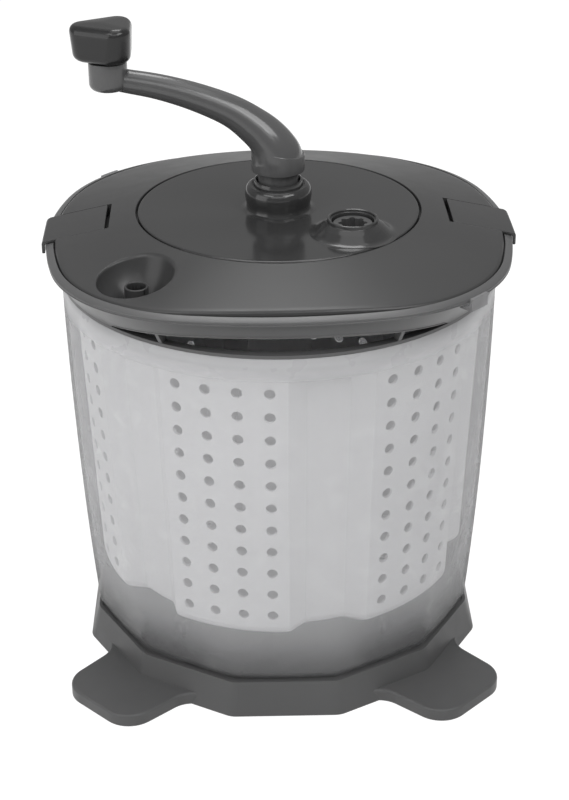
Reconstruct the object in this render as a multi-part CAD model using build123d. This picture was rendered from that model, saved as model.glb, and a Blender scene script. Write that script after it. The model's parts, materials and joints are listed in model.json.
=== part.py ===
from build123d import *
import os
from math import atan2, cos, degrees, hypot, pi, radians, sin, sqrt

# Hand-cranked washing machine for camping. Millimetres, +Z up, the front towards -Y.
# The origin is on the floor, on the axis that the tub, the basket and the drive share.

# Tub: round at its top edge, twelve-sided at its foot
TUB_TOP_Z = 303.0
TUB_TOP_R = 162.3
TUB_TAPER = 3.6
TUB_BULGE = 12.3
TUB_WALL = 2.5
TUB_FLOOR_Z = 25.0
TUB_EDGE_Z = 35.0
SIDES = 12

# Base tray and its four foot plates
BASE_TOP_Z = 27.0
BASE_TOP_R = 151.8
BASE_FOOT_R = 159.1
BASE_WALL = 3.0
BASE_LIFT = 1.0
CORNER_ROUND = 16.0
FOOT_REACH = 204.6
FOOT_HALF_WIDTH = 37.6
FOOT_ARMPIT = 20.0
FOOT_TOP_Z = 10.5
FOOT_EDGE_ROUND = 2.0
PAD_R = 13.0
PAD_U = 180.0
# The tray and the tub sit turned a little to the left under the collar
BASE_TURN = -0.75

# Outline of the lid in plan, from tangent arcs. Front and back each have their reach from the
# axis and the radii of their side arcs, middle arc and corner arcs
LID_SIDE = 165.2
FRONT_ARCS = (160.6, 309.0, 381.0, 110.6)
BACK_ARCS = (163.4, 260.0, 300.0, 120.0)

# The lid's top is a shallow cone round the flush gear cover
COVER_R = 104.3
COVER_GAP = 1.0
LID_TOP_Z = 349.4
LID_SLOPE = 0.215
LID_WALL = 3.0
LID_EDGE_Z = 329.3
PAN_FLOOR_Z = 324.0
PAN_FLOOR_T = 3.0
SEAL_WAIST_Z = 331.5
COVER_SCREW_R = 94.0
COVER_SCREW_ANGLES = (0, 60, 120, 180, 240, 285)

# Rim collar between tub and lid
FLANGE_OUT = 6.5
FLANGE_GAP = 0.8
FLANGE_TOP_Z = 334.3
FLANGE_SIDE_Z = 332.0
FLANGE_LOW_Z = 329.0
LEDGE_IN = 8.0
COLLAR_BORE_R = 155.1
SKIRT_WALL = 2.6
SILL_TOP_Z = TUB_TOP_Z + 2.5
# The slot's lip is highest in the middle and falls towards both ends
SLOT_TOP_Z = 318.4
SLOT_END_Z = 306.9
SLOT_HALF_ANGLE = 45.7
SLOT_TURN = -1.4
POST_ANGLE = 30.3
CLIP_ANGLE = 46.1
CLIP_HALF_ANGLE = 2.7
CLIP_LOW_Z = 322.8

# Water funnel and hose nipple on the front left diagonal
FUNNEL_R = 144.0
FUNNEL_MOUTH_R = 27.5
FUNNEL_FLOOR_R = 13.0
FUNNEL_FLOOR_Z = 318.0
NIPPLE_R = 8.5
NIPPLE_BORE_R = 6.8
NIPPLE_TOP_Z = 332.5

# Gears: module two, the offset socket turns the smaller one
MODULE = 2.0
DRIVE_TEETH = 56
PINION_TEETH = 17
GEAR_LOW_Z = 333.0
GEAR_TOP_Z = 341.0
CENTRE_DISTANCE = MODULE * (DRIVE_TEETH + PINION_TEETH) / 2
HUB_R = 14.0
DRIVE_HUB_TOP_Z = 362.7
PINION_HUB_TOP_Z = 356.5
BOSS_TOP_Z = 371.0
SOCKET_TOP_Z = 360.5

# Eight-lobed spline of the sockets and of the parts that go into them
SPLINE_CORE_R = 8.4
SPLINE_LOBE_R = 1.9
SPLINE_LOBES = 8
SPLINE_GAP = 0.25

# Latches: straps that swing up about a pin in the lid's slot
STRAP_WIDTH = 48.0
STRAP_THICK = 2.2
STRAP_PIN_X = 131.3
STRAP_END_X = 127.8
STRAP_Y = 2.0
STRAP_PIN_Z = 339.6
STRAP_PIN_R = 1.5
KNUCKLE_R = 2.8
SLOT_INNER_X = 124.6
HOOK_X = 171.9
HOOK_THICK = 2.2
HOOK_LOW_Z = 325.0
STRAP_BEND = 2.6

# Crank and knob
CRANK_R = 120.6
CRANK_HUB_R = 19.6
CRANK_HUB_Z = 379.2
NECK_R = 15.0
POST_R = 13.9
POST_LOW_Z = 441.8
POST_TOP_Z = 462.6
KNOB_LOW_Z = 463.9
KNOB_TOP_Z = 491.0
# Knob's plan below and above: tip, back, half width and corner radius
KNOB_FOOT = (-23.9, 17.0, 20.2, 13.2)
KNOB_CROWN = (-26.4, 18.2, 22.4, 11.0)
KNOB_FOOT_ROUND = 5.5
KNOB_CROWN_ROUND = 5.2

# Basket
BASKET_LOW_Z = 65.5
BASKET_TOP_Z = 290.0
BASKET_TOP_R = 153.0
BASKET_TAPER = 0.0465
BASKET_WALL = 2.2
BASKET_FOOT_ROUND = 8.0
FLUTES = 6
FLUTE_DEPTH = 11.5
BASKET_TURN = 12.7
HOLE_R = 4.0
HOLE_ROWS = 11
HOLE_COLUMNS = 4
HOLE_TOP_Z = 271.2
ROW_PITCH = 18.72
COLUMN_STEP = 8.7

# Middle of the machine: pivot pin, bush and agitator column
PIVOT_R = 6.0
PIVOT_TOP_Z = 62.0
PIVOT_CLEARANCE = 0.05
BUSH_R = 9.0
COLUMN_TOP_Z = 317.0
COLUMN_SCREW_R = 28.0

DIAGONALS = (45, 135, 225, 315)


def polar(radius, angle):
    return radius * cos(radians(angle)), radius * sin(radians(angle))


def tube(outer_r, inner_r, low_z, top_z):
    """Round ring or sleeve about the Z axis."""
    height = top_z - low_z
    ring = Cylinder(outer_r, height) - Cylinder(inner_r, height)
    return Pos(0, 0, (low_z + top_z) / 2) * ring


def rod(radius, low_z, top_z):
    return Pos(0, 0, (low_z + top_z) / 2) * Cylinder(radius, top_z - low_z)


def block(x0, x1, y0, y1, z0, z1):
    centre = Pos((x0 + x1) / 2, (y0 + y1) / 2, (z0 + z1) / 2)
    return centre * Box(x1 - x0, y1 - y0, z1 - z0)


def spun(points):
    """Solid of revolution about Z from a closed profile of (radius, z) points."""
    profile = make_face(Polyline(*[(r, 0, z) for r, z in points], close=True))
    return revolve(profile, Axis.Z)


def arc(centre, radius, start, end, z=0):
    """Arc from one angle to another, in degrees, as an edge at one height."""
    def point(angle):
        x, y = polar(radius, angle)
        return centre[0] + x, centre[1] + y, z
    return ThreePointArc(point(start), point((start + end) / 2), point(end))


def write(name, shape):
    export_step(Part() + shape, "parts/" + name + ".step")


# Outline of the lid

def corner_centre(reach, side_r, middle_r, corner_r):
    """Centre of the right corner arc, tangent inside the side arc and the middle arc."""
    side_x = LID_SIDE - side_r
    middle_y = reach - middle_r
    to_side = side_r - corner_r
    to_middle = middle_r - corner_r
    gap = hypot(side_x, middle_y)
    along = (to_side ** 2 - to_middle ** 2 + gap ** 2) / (2 * gap)
    across = sqrt(to_side ** 2 - along ** 2)
    x = side_x + (-along * side_x - across * middle_y) / gap
    return x, (along * middle_y - across * side_x) / gap


def outline_half(arcs, way, offset, z):
    """Half of the outline, from the right end of the X axis to the left, by the front or the back."""
    reach, side_r, middle_r, corner_r = arcs
    side_x = LID_SIDE - side_r
    middle_y = reach - middle_r
    corner_x, corner_y = corner_centre(*arcs)
    side_turn = degrees(atan2(corner_y, corner_x - side_x))
    middle_turn = degrees(atan2(corner_y - middle_y, corner_x))
    half = [
        ((side_x, 0.0), side_r, 0, side_turn),
        ((corner_x, corner_y), corner_r, side_turn, middle_turn),
        ((0.0, middle_y), middle_r, middle_turn, 180 - middle_turn),
        ((-corner_x, corner_y), corner_r, 180 - middle_turn, 180 - side_turn),
        ((-side_x, 0.0), side_r, 180 - side_turn, 180),
    ]
    return [arc((x, way * y), r + offset, way * a, way * b, z) for (x, y), r, a, b in half]


def outline_edges(offset, z):
    """The lid's outline, or one that runs a steady distance outside or inside it."""
    back = outline_half(BACK_ARCS, 1, offset, z)
    front = outline_half(FRONT_ARCS, -1, offset, z)
    return back + front[::-1]


def outline_wire(offset, z):
    return Wire(outline_edges(offset, z))


def circle_wire(radius, z):
    """Circle cut into as many arcs as the lid's outline, at the same bearings."""
    bearings = []
    for edge in outline_edges(0, 0):
        start = edge.position_at(0)
        bearings.append(degrees(atan2(start.Y, start.X)) % 360)
    bearings = sorted({round(bearing, 6) % 360 for bearing in bearings}) + [360]
    arcs = [arc((0, 0), radius, a, b, z) for a, b in zip(bearings, bearings[1:])]
    return Wire(arcs)


def prism(offset, low_z, top_z):
    return extrude(make_face(outline_wire(offset, low_z)), top_z - low_z, dir=(0, 0, 1))


def cone_z(radius, drop=0.0):
    """Height of the lid's top, or of a surface a steady depth below it."""
    return LID_TOP_Z - LID_SLOPE * (radius - COVER_R) - drop


def below_cone(drop, low_z=305.0):
    """Everything under the lid's cone, out past its edge."""
    reach = 200.0
    return spun([(0, low_z), (reach, low_z), (reach, cone_z(reach, drop)), (0, cone_z(0, drop))])


# Tub

def tub_radius(z):
    fall = (TUB_TOP_Z - z) / (TUB_TOP_Z - TUB_EDGE_Z)
    return TUB_TOP_R - TUB_TAPER * fall - TUB_BULGE * fall ** 2


def tub_section(z, inset):
    """Twelve arcs that are one circle at the top and nearly a polygon at the foot."""
    fall = (TUB_TOP_Z - z) / (TUB_TOP_Z - TUB_EDGE_Z)
    flat_r = tub_radius(max(z, TUB_EDGE_Z)) - inset
    tuck = 7.0 * (max(TUB_EDGE_Z - z, 0) / (TUB_EDGE_Z - TUB_FLOOR_Z)) ** 2
    flat_r -= tuck
    vertex_r = flat_r * (1 + 0.026 * min(fall, 1))
    edges = []
    for k in range(SIDES):
        a, b = (15 + 30 * k, 45 + 30 * k)
        start = polar(vertex_r, a)
        middle = polar(flat_r, (a + b) / 2)
        end = polar(vertex_r, b)
        edges.append(ThreePointArc((*start, z), (*middle, z), (*end, z)))
    return Wire(edges)


def tub_body(inset, heights):
    return Solid.make_loft([tub_section(z, inset) for z in heights], True)


def outer_tub():
    heights = (TUB_FLOOR_Z, 28, 31, TUB_EDGE_Z, 80, 130, 180, 240, TUB_TOP_Z)
    hollow = (TUB_FLOOR_Z + TUB_WALL, 31, TUB_EDGE_Z, 80, 130, 180, 240, TUB_TOP_Z)
    shell = Part() + tub_body(0, heights) - tub_body(TUB_WALL, hollow)
    shell += rod(20, TUB_FLOOR_Z, 42)
    shell -= rod(PIVOT_R, TUB_FLOOR_Z, 42)
    for angle in DIAGONALS:
        x, y = polar(110, angle)
        shell += Pos(x, y) * rod(7, TUB_FLOOR_Z, 40)
        shell -= Pos(x, y) * rod(2, TUB_FLOOR_Z, 37)
    return Rot(0, 0, BASE_TURN) * shell


# Base

def twelve_gon(vertex_r, z):
    """Twelve-sided outline with its corners rounded."""
    points = [polar(vertex_r, 15 + 30 * k) for k in range(SIDES)]
    face = make_face(Polyline(*points, close=True))
    face = fillet(face.vertices(), CORNER_ROUND)
    return (Pos(0, 0, z) * face).face().outer_wire()


def flared(foot_r, top_r, low_z, top_z):
    return Solid.make_loft([twelve_gon(foot_r, low_z), twelve_gon(top_r, top_z)], True)


def wall_radius(z, inset=0.0):
    """Vertex radius of the flared wall at one height."""
    share = (z - BASE_LIFT) / (BASE_TOP_Z - BASE_LIFT)
    return BASE_FOOT_R + (BASE_TOP_R - BASE_FOOT_R) * share - inset


def foot_plan(inset):
    """One foot plate in plan, pointing along +X, with rounded outer corners."""
    half = FOOT_HALF_WIDTH - inset
    reach = FOOT_REACH - inset
    side = [(120, half + 5), (160, half + 3), (reach, half)]
    points = side + [(x, -y) for x, y in side[::-1]]
    face = make_face(Polyline(*points, close=True))
    corners = face.vertices().sort_by(Axis.X)[-2:]
    return fillet(corners, 22 - inset)


def feet_plan(inset):
    plan = make_face(twelve_gon(wall_radius(FOOT_TOP_Z) - 0.5 - inset, 0))
    for angle in DIAGONALS:
        plan += Rot(0, 0, angle) * foot_plan(inset)
    reflex = [v for v in plan.vertices() if 142 < hypot(v.X, v.Y) < 160 and notch(v)]
    return fillet(reflex, FOOT_ARMPIT + inset)


def foot_plates():
    """The four plates with their tops rounded over at the edge."""
    plates = extrude(feet_plan(0), FOOT_TOP_Z - BASE_LIFT)
    return fillet(plates.edges().group_by(Axis.Z)[-1], FOOT_EDGE_ROUND)


def notch(vertex):
    """True where a foot's side meets the tray's wall."""
    bearing = degrees(atan2(vertex.Y, vertex.X)) % 90
    return abs(bearing - 45) > 10 and abs(bearing - 45) < 28


def base_tray():
    tray = Part() + flared(BASE_FOOT_R, BASE_TOP_R, BASE_LIFT, BASE_TOP_Z)
    tray += Pos(0, 0, BASE_LIFT) * foot_plates()
    plate_low = TUB_FLOOR_Z - BASE_WALL
    tray -= flared(BASE_FOOT_R - BASE_WALL, wall_radius(plate_low, BASE_WALL), BASE_LIFT, plate_low)
    hollow = Pos(0, 0, BASE_LIFT) * extrude(feet_plan(BASE_WALL), FOOT_TOP_Z - BASE_LIFT - BASE_WALL)
    tray -= hollow
    rim_r = wall_radius(TUB_FLOOR_Z, BASE_WALL)
    tray -= flared(rim_r, rim_r, TUB_FLOOR_Z, BASE_TOP_Z)
    tray -= rod(24, plate_low, TUB_FLOOR_Z)
    for angle in DIAGONALS:
        x, y = polar(PAD_U, angle)
        tray += Pos(x, y) * rod(PAD_R + 3, BASE_LIFT + 1, FOOT_TOP_Z - 1)
        tray -= Pos(x, y) * rod(PAD_R, BASE_LIFT, BASE_LIFT + 3)
        x, y = polar(110, angle)
        tray -= Pos(x, y) * rod(2, plate_low, TUB_FLOOR_Z)
    return Rot(0, 0, BASE_TURN) * tray


def foot_pads():
    pads = Part()
    for angle in DIAGONALS:
        x, y = polar(PAD_U, angle)
        pads += Pos(x, y) * rod(PAD_R, 0, BASE_LIFT + 3)
    return Rot(0, 0, BASE_TURN) * pads


def screw(shaft_r, head_r, head_h, length):
    """Screw that points up, with its head's top side at z = 0."""
    head = rod(head_r, -head_h, 0)
    drive = rod(head_r * 0.45, -head_h, -head_h * 0.4)
    return head + rod(shaft_r, 0, length) - drive


def base_screws():
    group = Part()
    for angle in DIAGONALS:
        x, y = polar(110, angle)
        group += Pos(x, y, TUB_FLOOR_Z - BASE_WALL) * screw(2, 4, 3, 15)
    return Rot(0, 0, BASE_TURN) * group


# Rim collar

def collar_band(angle, half_width, low_z, top_z):
    """Wedge of space round one bearing from the front, in degrees towards +X."""
    far = 260.0
    a = radians(angle - half_width)
    b = radians(angle + half_width)
    tip = (0, 0)
    left = (far * sin(a), -far * cos(a))
    right = (far * sin(b), -far * cos(b))
    face = make_face(Polyline(tip, left, right, close=True))
    return Pos(0, 0, low_z) * extrude(face, top_z - low_z)


def slot_space():
    """Crescent over the sill ring, closed above by a plane that falls towards the back."""
    front = -TUB_TOP_R
    end = front * cos(radians(SLOT_HALF_ANGLE))
    fall = (SLOT_TOP_Z - SLOT_END_Z) / (end - front)
    near = front - 40
    far = end + (SLOT_END_Z - SILL_TOP_Z) / fall
    side = [(-150, near, SILL_TOP_Z), (-150, near, SLOT_TOP_Z + 40 * fall), (-150, far, SILL_TOP_Z)]
    wedge = extrude(make_face(Polyline(*side, close=True)), 300, dir=(1, 0, 0))
    return Rot(0, 0, SLOT_TURN) * (wedge & collar_band(0, SLOT_HALF_ANGLE, SILL_TOP_Z, 340))


def skirt_body(inset):
    """Space inside the collar's flaring skirt, or inside a surface within its wall."""
    foot = circle_wire(TUB_TOP_R - inset, SILL_TOP_Z)
    return Solid.make_loft([foot, outline_wire(2.5 - inset, FLANGE_LOW_Z)], True)


def strap_notch(side):
    """Space over the flange where a strap crosses it."""
    half = STRAP_WIDTH / 2 + 0.8
    space = block(150, 180, -half, half, 325, 345) - below_cone(STRAP_THICK + 0.35)
    return strap_place(side) * space


def rim_collar():
    """Collar whose skirt stands on the sill ring and has the pour-out slot cut up from its foot."""
    skirt = Part() + skirt_body(0) - skirt_body(SKIRT_WALL) - slot_space()
    slope = [outline_wire(FLANGE_OUT, FLANGE_SIDE_Z), outline_wire(FLANGE_GAP, FLANGE_TOP_Z)]
    flange = prism(FLANGE_OUT, FLANGE_LOW_Z, FLANGE_SIDE_Z) + Solid.make_loft(slope, True)
    flange -= prism(FLANGE_GAP, FLANGE_LOW_Z, FLANGE_TOP_Z)
    flange -= strap_notch(-1)
    flange -= strap_notch(1)
    ledge_low = FLANGE_LOW_Z - 2.2
    ledge = prism(FLANGE_GAP, ledge_low, FLANGE_LOW_Z) - prism(-LEDGE_IN, ledge_low, FLANGE_LOW_Z)
    return skirt + flange + ledge - rod(COLLAR_BORE_R, SILL_TOP_Z, FLANGE_TOP_Z)


def slot_posts():
    """Two posts that stand in the slot between the sill ring and the skirt."""
    space = slot_space() & skirt_body(0.3)
    group = Part()
    for angle in (-POST_ANGLE, POST_ANGLE):
        post = block(-1.4, 1.4, -172, 5.6 - TUB_TOP_R, SILL_TOP_Z, 325)
        group += space & (Rot(0, 0, SLOT_TURN + angle) * post)
    return group


def sill_ring():
    """Flat ring on the tub's edge with a lip that locates it inside the tub."""
    ring = tube(TUB_TOP_R, COLLAR_BORE_R, TUB_TOP_Z, SILL_TOP_Z)
    return ring + tube(TUB_TOP_R - TUB_WALL - 0.3, COLLAR_BORE_R, TUB_TOP_Z - 8, TUB_TOP_Z)


def collar_clips():
    """Two small clips that sit against the skirt under the flange and hook up its outside."""
    reach = FLANGE_OUT + 2.3
    foot = prism(reach, CLIP_LOW_Z, FLANGE_LOW_Z) - skirt_body(-0.1)
    lip = prism(reach, FLANGE_LOW_Z, FLANGE_SIDE_Z) - prism(FLANGE_OUT, FLANGE_LOW_Z, FLANGE_SIDE_Z)
    group = Part()
    for angle in (CLIP_ANGLE, CLIP_ANGLE + 180):
        group += (foot + lip) & collar_band(angle, CLIP_HALF_ANGLE, 315, 335)
    return group


# Basket

def basket_radius(z):
    return BASKET_TOP_R - BASKET_TAPER * (BASKET_TOP_Z - z)


def basket_section(z, inset):
    """Six panels and six inward flutes, from arcs and short straight flanks."""
    outer_r = basket_radius(z) - inset
    inner_r = outer_r - FLUTE_DEPTH
    half_panel = 18.0
    half_flute = 6.5
    edges = []
    for k in range(FLUTES):
        panel = 60 * k
        flute = panel + 30
        edges.append(arc((0, 0), outer_r, panel - half_panel, panel + half_panel, z))
        a = polar(outer_r, panel + half_panel)
        b = polar(inner_r, flute - half_flute)
        c = polar(inner_r, flute + half_flute)
        d = polar(outer_r, flute + 30 - half_panel)
        edges.append(Line((*a, z), (*b, z)))
        edges.append(arc((0, 0), inner_r, flute - half_flute, flute + half_flute, z))
        edges.append(Line((*c, z), (*d, z)))
    return Wire(edges)


def basket_body(low, top, inset, foot_round):
    """Tapered body whose wall turns into its floor with a round edge."""
    sections = []
    for angle in (0, 30, 60, 90):
        turn = radians(angle)
        rise = foot_round * (1 - cos(turn))
        sections.append(basket_section(low + rise, inset + foot_round * (1 - sin(turn))))
    sections.append(basket_section(top, inset))
    return Solid.make_loft(sections, True)


def panel_holes():
    """Round holes of one panel, as radial rods through the wall."""
    rods = []
    for row in range(HOLE_ROWS):
        z = HOLE_TOP_Z - ROW_PITCH * row
        for column in range(HOLE_COLUMNS):
            angle = COLUMN_STEP * (column - (HOLE_COLUMNS - 1) / 2)
            x, y = polar(basket_radius(z), angle)
            rods.append(Pos(x, y, z) * Rot(0, 0, angle) * Rot(0, 90, 0) * Cylinder(HOLE_R, 12))
    return rods


def wash_basket():
    low, top = BASKET_LOW_Z, BASKET_TOP_Z
    floor_top = low + 3
    outer = basket_body(low, top, 0, BASKET_FOOT_ROUND)
    inner = basket_body(floor_top, top, BASKET_WALL, BASKET_FOOT_ROUND - BASKET_WALL)
    shell = Part() + outer - inner
    shell += tube(BASKET_TOP_R + 1.0, BASKET_TOP_R - FLUTE_DEPTH - BASKET_WALL, top - 3, top)
    cutters = []
    for k in range(FLUTES):
        cutters += [Rot(0, 0, 60 * k) * hole for hole in panel_holes()]
    shell -= cutters
    drains = []
    for ring_r, count in ((62, 12), (88, 18), (114, 24)):
        for k in range(count):
            x, y = polar(ring_r, 360 * k / count)
            drains.append(Pos(x, y) * rod(HOLE_R, low, floor_top))
    shell -= drains
    shell += rod(16, 47, floor_top)
    shell -= rod(BUSH_R + PIVOT_CLEARANCE, 47, floor_top)
    for k in range(3):
        x, y = polar(COLUMN_SCREW_R, 120 * k)
        shell -= Pos(x, y) * rod(1.75, low, floor_top)
    return Rot(0, 0, BASKET_TURN) * shell


def agitator_column():
    """Hollow cone with three fins, which stands on the basket's floor and takes the drive."""
    foot_z = BASKET_LOW_Z + 3
    wall = 2.6
    top_z = COLUMN_TOP_Z
    body = spun([(0, foot_z), (36, foot_z), (34, foot_z + 6), (21, 295), (21, top_z), (0, top_z)])
    cavity = spun([(0, foot_z), (36 - wall, foot_z), (34 - wall, foot_z + 6), (21 - wall, 289), (0, 289)])
    shell = body - cavity
    for k in range(3):
        fin = block(18, 44, -2, 2, foot_z, 235)
        fin = fin & spun([(0, foot_z), (50, foot_z), (46, foot_z + 30), (27, 235), (0, 235)])
        shell += Rot(0, 0, 120 * k + 60) * (fin - cavity)
        x, y = polar(COLUMN_SCREW_R, 120 * k)
        boss = Pos(x, y) * rod(5, foot_z, foot_z + 14)
        shell += boss - Pos(x, y) * rod(1.75, foot_z, foot_z + 10)
    return Rot(0, 0, BASKET_TURN) * shell - splined_rod(SPLINE_GAP, 293, top_z)


def column_screws():
    group = Part()
    for k in range(3):
        x, y = polar(COLUMN_SCREW_R, 120 * k)
        group += Pos(x, y, BASKET_LOW_Z) * screw(1.75, 3.5, 2.5, 11)
    return Rot(0, 0, BASKET_TURN) * group


def splined_rod(gap, low_z, top_z):
    """Round core with eight lobes, made wider by a gap for the socket that takes it."""
    shape = rod(SPLINE_CORE_R + gap, low_z, top_z)
    for k in range(SPLINE_LOBES):
        x, y = polar(SPLINE_CORE_R, 360 * k / SPLINE_LOBES)
        shape += Pos(x, y) * rod(SPLINE_LOBE_R + gap, low_z, top_z)
    return shape


def pivot_pin():
    return rod(PIVOT_R, TUB_FLOOR_Z, PIVOT_TOP_Z) - rod(2, TUB_FLOOR_Z, 30)


def pivot_bush():
    sleeve = tube(BUSH_R, PIVOT_R + PIVOT_CLEARANCE, 44, PIVOT_TOP_Z)
    return rod(BUSH_R, PIVOT_TOP_Z, 65) + sleeve + tube(15, PIVOT_R + PIVOT_CLEARANCE, 44, 46.7)


# Lid

def strap_place(side):
    """From the right strap's own place, centred on the X axis, to the left or the right of the lid."""
    return Pos(0, STRAP_Y, 0) * Rot(0, 0, 0 if side > 0 else 180)


def strap_pocket(side):
    """Recess for one strap, with the open slot at its inner end."""
    half = STRAP_WIDTH / 2 + 0.4
    reach = block(SLOT_INNER_X, 190, -half, half, 310, 365)
    pocket = reach - below_cone(STRAP_THICK + 0.4)
    slot = block(SLOT_INNER_X, STRAP_PIN_X + 4.2, -half, half, STRAP_PIN_Z - 4.6, 350)
    return strap_place(side) * (pocket + slot)


def strap_bed(side):
    """Thick place of the lid under one strap's recess, deepest round the hinge slot."""
    half = STRAP_WIDTH / 2 + 3
    bed = block(SLOT_INNER_X - 3, 170, -half, half, 320, 365) - below_cone(STRAP_THICK + 3.0)
    well = block(SLOT_INNER_X - 3, STRAP_PIN_X + 7, -half, half, STRAP_PIN_Z - 7, 365)
    return strap_place(side) * (bed + well)


def funnel_place():
    x, y = polar(FUNNEL_R, 225)
    return Pos(x, y, 0)


def lid_shell():
    pan_r = COVER_R + COVER_GAP
    bowl_outer = spun([(0, FUNNEL_FLOOR_Z - 2.5), (FUNNEL_FLOOR_R + 2, FUNNEL_FLOOR_Z - 2.5),
                       (FUNNEL_MOUTH_R + 2.5, 341), (FUNNEL_MOUTH_R + 2.5, 365), (0, 365)])
    lid = prism(0, LID_EDGE_Z, 365)
    lid -= prism(-LID_WALL, LID_EDGE_Z, 365) & below_cone(LID_WALL)
    lid += rod(pan_r + 2.5, PAN_FLOOR_Z, 365)
    lid += strap_bed(-1)
    lid += strap_bed(1)
    lid += funnel_place() * bowl_outer
    lid = lid & below_cone(0) & prism(0, 305, 365)
    lid -= funnel_place() * bowl_space()
    lid -= rod(pan_r, PAN_FLOOR_Z + PAN_FLOOR_T, 365)
    lid += tube(pan_r + 1, pan_r - 4, LID_TOP_Z - 6, LID_TOP_Z - 3)
    lid -= rod(12, PAN_FLOOR_Z, PAN_FLOOR_Z + PAN_FLOOR_T)
    px, py = pinion_place()
    lid -= Pos(px, py) * rod(3, PAN_FLOOR_Z, PAN_FLOOR_Z + PAN_FLOOR_T)
    for angle in COVER_SCREW_ANGLES:
        x, y = polar(COVER_SCREW_R, angle)
        lid -= Pos(x, y) * rod(1.6, PAN_FLOOR_Z, PAN_FLOOR_Z + PAN_FLOOR_T)
    for side in (-1, 1):
        lid -= strap_pocket(side)
        pin_hole = Rot(90, 0, 0) * Cylinder(STRAP_PIN_R, STRAP_WIDTH + 5)
        lid -= Pos(side * STRAP_PIN_X, STRAP_Y, STRAP_PIN_Z) * pin_hole
    return lid


def bowl_space():
    """Hollow of the water funnel round its hose nipple, with the nipple's bore."""
    bowl = spun([(0, FUNNEL_FLOOR_Z), (FUNNEL_FLOOR_R, FUNNEL_FLOOR_Z), (FUNNEL_MOUTH_R - 2, 336),
                 (FUNNEL_MOUTH_R, 350), (FUNNEL_MOUTH_R, 365), (0, 365)])
    nipple = tube(NIPPLE_R, NIPPLE_BORE_R, FUNNEL_FLOOR_Z, NIPPLE_TOP_Z)
    return bowl - nipple + rod(NIPPLE_BORE_R, FUNNEL_FLOOR_Z - 3, FUNNEL_FLOOR_Z)


def lid_seal():
    ring = prism(-LID_WALL - 0.3, FLANGE_LOW_Z, 345) - prism(-LID_WALL - 4.3, FLANGE_LOW_Z, 345)
    ring = ring & below_cone(LID_WALL)
    for side in (-1, 1):
        ring -= strap_place(side) * block(140, 175, -28, 28, SEAL_WAIST_Z, 350)
    bowl = rod(FUNNEL_MOUTH_R + 3, SEAL_WAIST_Z, 350)
    return ring - funnel_place() * bowl


def pinion_place():
    return polar(CENTRE_DISTANCE, -45)


def gear_cover():
    disc = rod(COVER_R, LID_TOP_Z - 3, LID_TOP_Z)
    disc = fillet(disc.edges().sort_by(Axis.Z)[-1], 1.2)
    boss = spun([(33, LID_TOP_Z - 1), (33, LID_TOP_Z), (27, 350.2), (23.6, 353.5), (23.4, 358), (24.2, 363),
                 (23.4, 366.6), (20, 369), (17.6, 369.8), (17.3, BOSS_TOP_Z), (15.9, BOSS_TOP_Z),
                 (15.9, LID_TOP_Z - 1)])
    px, py = pinion_place()
    socket = spun([(33, LID_TOP_Z - 1), (33, LID_TOP_Z), (29, 350), (25, 353.2), (21, 356.6), (18.4, 357.9),
                   (18.2, SOCKET_TOP_Z), (16.4, SOCKET_TOP_Z), (16.4, 358.6), (15.2, 358.6),
                   (15.2, LID_TOP_Z - 1)])
    cover = disc + boss + Pos(px, py) * socket
    cover -= rod(15.9, LID_TOP_Z - 3, LID_TOP_Z)
    cover -= Pos(px, py) * rod(15.2, LID_TOP_Z - 3, LID_TOP_Z)
    for angle in COVER_SCREW_ANGLES:
        x, y = polar(COVER_SCREW_R, angle)
        cover += Pos(x, y) * tube(4, 1.6, PAN_FLOOR_Z + PAN_FLOOR_T, LID_TOP_Z - 3)
    return cover


def cover_screws():
    group = Part()
    for angle in COVER_SCREW_ANGLES:
        x, y = polar(COVER_SCREW_R, angle)
        group += Pos(x, y, PAN_FLOOR_Z) * screw(1.6, 3.2, 2.2, 15)
    return group


def gear(teeth, phase):
    """Spur gear blank with straight-flanked teeth; the first tooth stands at the phase angle."""
    pitch_r = MODULE * teeth / 2
    root_r = pitch_r - 1.2 * MODULE
    tip_r = pitch_r + 0.85 * MODULE
    step = 360 / teeth
    points = []
    for k in range(teeth):
        middle = phase + k * step
        for r, half in ((root_r, 0.34), (pitch_r, 0.21), (tip_r, 0.10)):
            points.append(polar(r, middle - half * step))
        for r, half in ((tip_r, 0.10), (pitch_r, 0.21), (root_r, 0.34)):
            points.append(polar(r, middle + half * step))
    profile = make_face(Polyline(*points, close=True))
    return Pos(0, 0, GEAR_LOW_Z) * extrude(profile, GEAR_TOP_Z - GEAR_LOW_Z)


def drive_gear():
    web = tube(MODULE * DRIVE_TEETH / 2 - 7, HUB_R, GEAR_LOW_Z + 2.5, GEAR_TOP_Z + 1)
    body = gear(DRIVE_TEETH, -45) - web
    body += tube(MODULE * DRIVE_TEETH / 2 - 6, HUB_R - 1, GEAR_LOW_Z, GEAR_LOW_Z + 3)
    body += rod(HUB_R, GEAR_LOW_Z, DRIVE_HUB_TOP_Z)
    body += rod(9, PAN_FLOOR_Z - 3, GEAR_LOW_Z)
    body -= splined_rod(SPLINE_GAP, 341, DRIVE_HUB_TOP_Z)
    return body - rod(2, PAN_FLOOR_Z - 3, 335)


def drive_bush():
    sleeve = tube(12, 9.05, PAN_FLOOR_Z - 1.5, PAN_FLOOR_Z + PAN_FLOOR_T)
    return sleeve + tube(18, 9.05, PAN_FLOOR_Z + PAN_FLOOR_T, 332.7)


def drive_dog():
    """Plate and splined stub under the lid, which go into the top of the column."""
    plate = rod(20, 317.5, PAN_FLOOR_Z - 3)
    stub = splined_rod(0, 297, 317.5)
    return plate + stub - rod(2, 305, PAN_FLOOR_Z - 3) - rod(4, 297, 305)


def dog_screw():
    return Pos(0, 0, 305) * screw(2, 3.8, 3, 28)


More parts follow.
